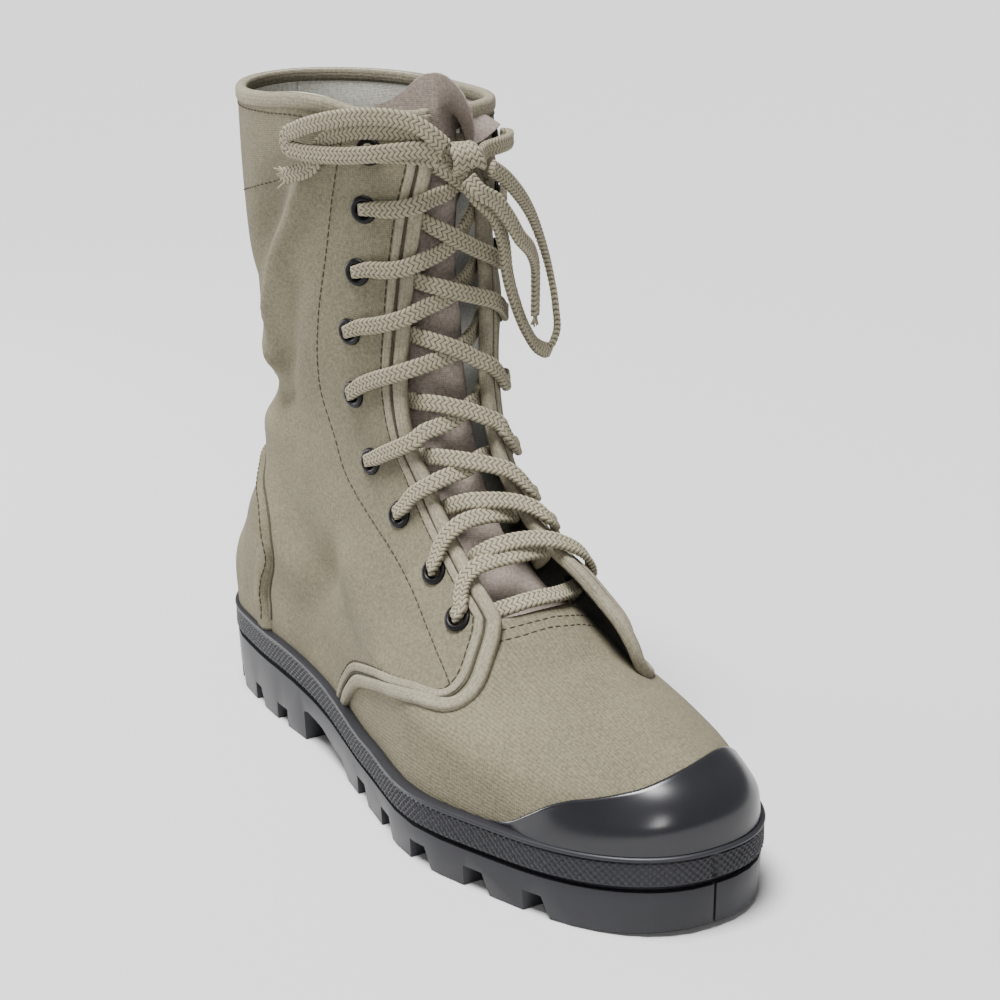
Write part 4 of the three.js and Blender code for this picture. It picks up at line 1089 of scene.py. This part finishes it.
class BOOT_OT_sole(bpy.types.Operator):
    """Knurled rubber band and the lugged outsole."""
    bl_idname = "boot.sole"
    bl_label = "Sole"

    def execute(self, context):
        values = settings()
        rubber = rubber_material("Sole rubber", tuple(values.rubber), 0.38, 0.2, 0.32)
        pitch = values.knurl_pitch * 1000
        u = np.linspace(0, 1, AROUND + 1)
        run = run_along(skin(u, BAND_TOP, 4.0))
        s = np.linspace(0, run[-1], AROUND, endpoint=False)
        u = np.interp(s, run, u)
        turns = round(run[-1] / pitch)
        rings = [sole_ring(u, rise, off) for off, rise in BAND_LOW]
        for part in np.linspace(0, 1, KNURL_ROWS):
            rise = KNURL_FOOT + KNURL_HEIGHT * part
            a = np.pi * turns * s / run[-1]
            b = np.pi * (rise - KNURL_FOOT) / pitch
            diamonds = 0.9 * (np.abs(np.sin(a + b) * np.sin(a - b)) ** 0.8 - 0.5)
            parting = 1.3 * np.exp(-((u - 0.5) / 0.0022) ** 2)
            fade = min(1.0, (rise - 2.2) / 0.5, (10.4 - rise) / 0.5)
            rings.append(sole_ring(u, rise, 3.95 - 0.1 * part + (diamonds - parting) * fade))
        rings += [sole_ring(u, rise, off) for off, rise in BAND_LIP]
        verts = np.concatenate(rings)
        faces = outward_faces(verts, ring_faces(len(rings), AROUND))
        piece = finish_mesh("sole_band", verts, faces, rubber, np.zeros((len(verts), 2)))
        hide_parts("midsole_tray")
        piece = lugged_sole(rubber)
        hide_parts("outsole")
        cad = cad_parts["insole"]
        cad.data.materials.clear()
        cloth = cloth_material("Insole cloth", scaled(tuple(values.lining), 0.5), values.thread * 800)
        cad.data.materials.append(cloth)
        return {"FINISHED"}


TONGUE_MIDDLE = 0.5
TONGUE_STEM = 244.0  # height from which the tongue rolls forward
# Tongue: height, half reach round the front, depth under the skin
TONGUE_ROWS = np.array([
    [70, .075, .7], [76, .085, .7], [80, .095, .8], [84, .1, 3.4], [89, .1, 5], [104, .1, 5], [116, .105, 5],
    [130, .11, 5], [150, .115, 5], [175, .115, 5], [200, .11, 5], [225, .105, 5], [245, .1, 5], [257, .09, 4],
])


class BOOT_OT_tongue(bpy.types.Operator):
    """Cloth tongue with its top rolling forward."""
    bl_idname = "boot.tongue"
    bl_label = "Tongue"

    def execute(self, context):
        values = settings()
        h = np.concatenate([np.linspace(70, TONGUE_STEM, 130), TONGUE_STEM + np.linspace(0.4, 20, 48)])[:, None]
        t = np.linspace(-1, 1, 70)[None, :]
        low = np.minimum(h, TONGUE_STEM)
        u = TONGUE_MIDDLE + curve(TONGUE_ROWS, low) * t
        u, h, low = np.broadcast_arrays(u, h, low)
        tuck = smooth((t - 0.28) / 0.55) * smooth((low - 92) / 25) * smooth((236 - low) / 40)
        deep = curve(TONGUE_ROWS, low, 2) + 9.0 * tuck
        deep = deep + 2.5 * smooth((t - 0.2) / 0.4) * smooth((low - 215) / 25)
        wave = 0.8 * np.sin(low / 12.0 + 2.2 * t) * smooth((low - 90) / 20) + 0.4 * np.sin(low / 5.3 - 3 * t + 1)
        mid = -1.6 - deep + wave * 0.6
        over = h - low
        lean = np.radians(-10 + 165 * smooth((t + 0.05) / 0.4) - 25 * smooth((t - 0.6) / 0.35))
        lean = lean * smooth((over - 1.5) / 6)
        reach = 0.45 + 0.45 * smooth((t + 1.0) / 0.9)
        steps = np.diff(over, axis=0, prepend=0) * reach
        rise = np.cumsum(np.cos(lean) * steps, axis=0) * (0.78 + 0.22 * np.cos(1.6 * t))
        out = np.cumsum(np.sin(lean) * steps, axis=0)
        face = canvas_at(u, low, mid, False)
        normal = outward(u, low)
        upright = unit(skin(u, low) - skin(u, low - 2))
        face = face + upright * rise[..., None] + normal * out[..., None]
        facing = normal * np.cos(lean)[..., None] - upright * np.sin(lean)[..., None]
        cloth = cloth_material("Tongue cloth", tuple(values.tongue), values.thread * 900)
        piece = slab("tongue_cloth", face, face - 1.8 * facing, cloth, sheet_uv(face))
        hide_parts("tongue")
        return {"FINISHED"}


class BOOT_OT_eyelets(bpy.types.Operator):
    """Eighteen enamelled eyelets."""
    bl_idname = "boot.eyelets"
    bl_label = "Eyelets"

    def execute(self, context):
        enamel = enamel_material("Black enamel", tuple(settings().eyelet))
        for k, (outer, h, inner) in enumerate(EYELETS):
            for place, label in ((outer, "outer"), (inner, "inner")):
                piece = eyelet_mesh("eyelet_ring_%s_%d" % (label, 9 - k), place, h, enamel)
                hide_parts("eyelet_%s_%d" % (label, 9 - k))
        return {"FINISHED"}


class BOOT_OT_laces(bpy.types.Operator):
    """Braided lace run through the eyelets."""
    bl_idname = "boot.laces"
    bl_label = "Lace"

    def execute(self, context):
        values = settings()
        bodies = []
        for side in (1, -1):
            p, sides, scale = lace_run(side)
            bodies.append(ribbon(p, sides, values, scale))
        piece = swept_piece("lace_run", bodies, lace_braid(values))
        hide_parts("lace_bar", *["lace_cross_%d" % k for k in range(1, 9)])
        return {"FINISHED"}


# Bow: each row is a place round the boot, a height and a distance off the skin
KNOT_LEAD = [(0.404, 236, 3.0), (0.408, 236, 5.4), (0.420, 236, 6.8), (0.440, 235.8, 6.9), (0.462, 235.2, 6.4)]
KNOT_TAIL = [(0.545, 235.5, 6.6), (0.565, 236, 7), (0.590, 236, 7), (0.612, 236, 6.6), (0.630, 236, 5.4),
             (0.634, 236, 3.0)]
LEFT_LOOP = [
    (0.4823, 239.3, 13.6), (0.4712, 243.3, 13.5), (0.4573, 247.1, 12.5), (0.438, 249.2, 11.5), (0.4148, 249.3, 10.2),
    (0.3866, 247.6, 9), (0.3587, 244.1, 8.2), (0.3344, 241.4, 7.6), (0.3183, 238.8, 7.2), (0.3183, 236.3, 7),
    (0.3324, 235, 7), (0.3569, 234.8, 7.2), (0.3867, 235.3, 8.4), (0.4159, 236.5, 10.2), (0.442, 237.9, 11.6),
    (0.464, 238.5, 12.4), (0.4804, 237.7, 12.8),
]
LEFT_END = [
    (0.4792, 238.7, 11), (0.4607, 242.4, 10.4), (0.4367, 244.2, 9), (0.4119, 244.1, 7.6), (0.3842, 242.4, 6),
    (0.3637, 239.5, 5), (0.351, 236.3, 4.4), (0.3476, 232.9, 4.2), (0.3415, 229.8, 4.3), (0.3288, 227.4, 4.6),
    (0.3158, 226, 5), (0.3069, 225, 5.6),
]
RIGHT_LOOP = [
    (0.503, 226.7, 12), (0.514, 221, 12.2), (0.536, 213, 12.5), (0.550, 203, 11.8), (0.560, 190, 11),
    (0.576, 178, 11), (0.598, 167, 12.5), (0.618, 160, 15.5), (0.632, 158, 19.5), (0.633, 164, 22.5),
    (0.631, 174, 22.2), (0.629, 188, 19.8), (0.618, 200, 17), (0.598, 211, 14.5), (0.572, 220, 13),
    (0.550, 226.5, 12.2), (0.5345, 230, 12),
]
RIGHT_END = [
    (0.499, 228.4, 16.9), (0.506, 224, 18.4), (0.522, 219.5, 18.8), (0.536, 213, 18.6), (0.552, 205, 18.2),
    (0.572, 199, 17.8), (0.588, 192, 17.2), (0.593, 183, 16.6), (0.594, 173, 16),
]
KNOT_ROUND = 4.6  # radius of the knot's turns
KNOT_PITCH = 5.2  # how far a turn moves along


def bow_line(rows):
    """Points of a bow run and the way its width lies: across the run, flat to the boot."""
    line = spline(np.column_stack([placed(rows), np.array(rows, float)]), LACE_STEP)
    p = line[:, :3]
    run = unit(np.gradient(p, axis=0))
    return p, unit(np.cross(outward(line[:, 3], line[:, 4]), run))


def knot_line():
    """Lace from one top eyelet, a turn and a half round the bow's middle, and on to the other."""
    start = placed([(0.487, 234.5, 11.6)])[0]
    out = outward(0.5, 234.5)
    up = np.array([0.0, 0.0, 1.0])
    along = unit(np.cross(up, out))
    t = np.linspace(0, 1.5, 19)[:, None]
    turn = 2 * np.pi * t
    wound = start + along * KNOT_PITCH * t - out * KNOT_ROUND * np.cos(turn) + up * KNOT_ROUND * np.sin(turn)
    lead, tail = placed(KNOT_LEAD), placed(KNOT_TAIL)
    points = np.concatenate([lead, wound, tail])
    upward = [np.broadcast_to(way, run.shape) for way, run in ((up, lead), (along, wound), (-up, tail))]
    line = spline(np.column_stack([points, np.concatenate(upward)]), LACE_STEP)
    return line[:, :3], unit(line[:, 3:])


def frayed(line, sides, wide):
    """Loose threads fanning out of a lace's cut end."""
    draw = np.random.default_rng(FRAY_SEED)
    along, across = unit(line[-1] - line[-5]), sides[-1]
    bodies = []
    for place in np.linspace(-0.42, 0.42, 14):
        way = unit(along + across * (place * 1.1 + draw.uniform(-0.3, 0.3)) + draw.uniform(-0.25, 0.25, 3))
        reach = draw.uniform(2.0, 4.2)
        s = np.linspace(-1.2, reach, 8)[:, None]
        p = line[-1] + across * place * wide * 0.9 + along * np.minimum(s, 0) + way * np.maximum(s, 0)
        p = p + np.cross(way, across) * (0.12 * np.maximum(s, 0) ** 1.5 * draw.uniform(-1, 1))
        ring = rounded_section(0.32, 0.32, 6, 1.0)
        bodies.append((sweep(p, np.broadcast_to(across, p.shape), ring), np.zeros((8, 6, 2))))
    return bodies


class BOOT_OT_bow(bpy.types.Operator):
    """Knot, two loops and two ends."""
    bl_idname = "boot.bow"
    bl_label = "Bow"

    def execute(self, context):
        values = settings()
        runs = [("knot", knot_line(), "object"), ("loop_left", bow_line(LEFT_LOOP), "object"),
                ("loop_right", bow_line(RIGHT_LOOP), "object"), ("end_left", bow_line(LEFT_END), "bare"),
                ("end_right", bow_line(RIGHT_END), "bare")]
        for name, (line, sides), far_end in runs:
            piece = cord_piece("bow_" + name, line, sides, values)
            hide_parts("lace_" + name)
            if far_end == "bare":
                fray = swept_piece("bow_" + name + "_fray", frayed(line, sides, values.lace_width * 1000),
                                   cloth_material("Lace fray", scaled(tuple(values.lace), 1.1), 0.6))
        return {"FINISHED"}


# Seams as places and heights
STAY_SEAM = [(.372, 239.6), (.355, 216.4), (.338, 195.8), (.314, 174.4), (.291, 156), (.281, 141.9), (.287, 126.1),
             (.297, 115.8), (.324, 104.7), (.346, 95.3), (.359, 85.9), (.364, 76.8), (.366, 68.6), (.364, 62.7)]
VAMP_SEAMS = [
    [(.405, 76), (.434, 78.9), (.459, 80.6), (.486, 81.7), (.517, 81.8), (.559, 79.3), (.60, 75)],
    [(.405, 73.8), (.428, 76.2), (.452, 77.9), (.477, 79.3), (.506, 79.7), (.549, 77.7), (.59, 73.5)],
]
COUNTER_SEAM = [(.146, 30), (.147, 36), (.147, 42), (.152, 50), (.160, 58), (.166, 66), (.166, 74), (.161, 81),
                (.150, 87), (.134, 92), (.112, 96), (.080, 98.6), (.04, 99.4), (0, 99.6)]
BACK_SEAM = [(0, 209), (.028, 208.5), (.069, 207.2), (.116, 208.2), (.16, 211), (.2, 214), (.236, 217.5),
             (.27, 221)]
COLLAR_SEAM = 243.8
FRAY_SEED = 7


def both_sides(rows):
    """A line from the outer side to the heel's back, carried on over the inner side."""
    return rows + [(-a, b) for a, b in rows[-2::-1]]


class BOOT_OT_stitches(bpy.types.Operator):
    """Seams of the upper, and dark cords that paint the shade in the quarters' grooves and under the heel counter's
    rim.
    """
    bl_idname = "boot.stitches"
    bl_label = "Stitches"

    def execute(self, context):
        values = settings()
        pitch = values.stitch_pitch * 1000
        thread = cloth_material("Stitch thread", scaled(tuple(values.canvas), 0.34), 0.5)
        mirrored = [(1.020 - a, b) for a, b in STAY_SEAM]
        for side, label, seam in ((1, "outer", STAY_SEAM), (-1, "inner", mirrored)):
            # A dark cord along the groove beside the tape: painted shade in the groove.
            groove_shade = quarter_edge(side, 1.0, GROOVE_INSET, STRIP_TOP[side])
            bodies = [tape_body(*groove_shade, STEP - 0.1, 0.5, 0.5)]
            bodies += stitches(*quarter_edge(side, 1.0, SEAM_INSET, STRIP_TOP[side]), STEP, pitch, share=0.97)
            bodies += stitches(*line_on_skin(seam, 1.0), STEP, pitch, share=0.94)
            swept_piece("stitches_and_shade_cords_" + label, bodies, thread)
        bodies = []
        for places in VAMP_SEAMS:
            bodies += stitches(*line_on_skin(places, 1.0), 0.1, pitch, loose=False)
        bodies += stitches(np.linspace(0.455, -0.43, 500), np.full(500, COLLAR_SEAM), STEP, pitch, share=0.97)
        u, h = line_on_skin(both_sides(COUNTER_SEAM), 1.0)
        bodies += stitches(u, h, counter_rise(u, h) + 0.05, pitch, size=0.36, share=0.97)
        # A dark cord along the heel counter's edge: painted shade of the undercut beneath it.
        rim = [(a + 0.0068 if a > 0.03 else a, b + 1.2) for a, b in COUNTER_SEAM]
        bodies.append(tape_body(*line_on_skin(both_sides(rim), 1.0), STEP - 0.1, 0.7, 0.55))
        bodies += stitches(*line_on_skin(BACK_SEAM, 1.0), STEP, pitch)
        swept_piece("stitches_and_shade_cords_body", bodies, thread)
        return {"FINISHED"}


def add_lamp(name, kind, way, power, place=(0, 0, 0)):
    """Lamp that shines from a way, with its power."""
    data = bpy.data.lights.new(name, kind)
    data.energy = power
    lamp = bpy.data.objects.new(name, data)
    bpy.context.scene.collection.objects.link(lamp)
    lamp.location = place
    lamp.rotation_euler = Vector(way).to_track_quat("Z", "Y").to_euler()
    return lamp


def sun_light(name, way, spread, power):
    """Soft sun shining from a way."""
    lamp = add_lamp(name, "SUN", way, power)
    lamp.data.angle = spread
    return lamp


def area_light(name, place, target, width, power):
    """Round lamp that faces a target."""
    lamp = add_lamp(name, "AREA", Vector(place) - Vector(target), power, place)
    lamp.data.shape = "DISK"
    lamp.data.size = width
    return lamp


# Camera: place in millimetres from the heel's back, and its axes
CAMERA_PLACE = (787.36557, -328.25400, 344.50401)
CAMERA_AXES = [(0.527256, 0.849697, 0.003995), (-0.249696, 0.150444, 0.956566), (0.812190, -0.505353, 0.291489)]


class BOOT_OT_stage(bpy.types.Operator):
    """Camera, pale floor and soft light."""
    bl_idname = "boot.stage"
    bl_label = "Stage"

    def execute(self, context):
        scene = bpy.context.scene
        data = bpy.data.cameras.new("Camera")
        data.lens = 74.0
        data.sensor_width = 36.0
        data.shift_x, data.shift_y = -0.111, -0.049
        data.clip_start = 0.01
        data.dof.use_dof = False
        camera = bpy.data.objects.new("Camera", data)
        scene.collection.objects.link(camera)
        camera.matrix_world = Matrix.Translation(home(CAMERA_PLACE)) @ Matrix(CAMERA_AXES).transposed().to_4x4()
        scene.camera = camera
        bpy.ops.mesh.primitive_plane_add(size=8, location=(0, 0, -0.0002))
        floor = bpy.context.active_object
        floor.name = "floor"
        material, _, shader = start_material("Pale floor", 0.7)
        shader.inputs["Base Color"].default_value = (0.58, 0.58, 0.58, 1)
        floor.data.materials.append(material)
        world = scene.world or bpy.data.worlds.new("World")
        scene.world = world
        world.use_nodes = True
        background = world.node_tree.nodes["Background"]
        background.inputs[0].default_value = (1, 1, 1, 1)
        background.inputs[1].default_value = 0.2
        lamps = [
            sun_light("Sun", (0.04, -0.22, 1.0), 0.45, 8.8),
            area_light("Key", (1.15, -0.62, 0.75), (0.12, 0, 0.04), 0.3, 4),
            area_light("Low", (-0.75, -0.6, 0.3), (-0.06, 0, 0.03), 0.4, 6),
        ]
        return {"FINISHED"}


OPERATORS = [BOOT_OT_upper, BOOT_OT_bindings, BOOT_OT_counter, BOOT_OT_toe, BOOT_OT_sole, BOOT_OT_tongue,
             BOOT_OT_eyelets, BOOT_OT_laces, BOOT_OT_bow, BOOT_OT_stitches, BOOT_OT_stage]


class BOOT_PT_panel(bpy.types.Panel):
    """Lists the settings and the pieces."""

    bl_idname = "BOOT_PT_panel"
    bl_label = "Boot"
    bl_space_type = "VIEW_3D"
    bl_region_type = "UI"
    bl_category = "Boot"

    def draw(self, context):
        column = self.layout.column()
        for name in BootSettings.__annotations__:
            column.prop(context.scene.boot_settings, name)
        for operator in OPERATORS:
            column.operator(operator.bl_idname)


CLASSES = [BootSettings] + OPERATORS + [BOOT_PT_panel]


def register():
    for cls in CLASSES:
        bpy.utils.register_class(cls)
    bpy.types.Scene.boot_settings = bpy.props.PointerProperty(type=BootSettings)


def unregister():
    del bpy.types.Scene.boot_settings
    for cls in reversed(CLASSES):
        bpy.utils.unregister_class(cls)


def main():
    register()
    for operator in OPERATORS:
        group, name = operator.bl_idname.split(".")
        getattr(getattr(bpy.ops, group), name)()


if __name__ == "__main__":
    main()
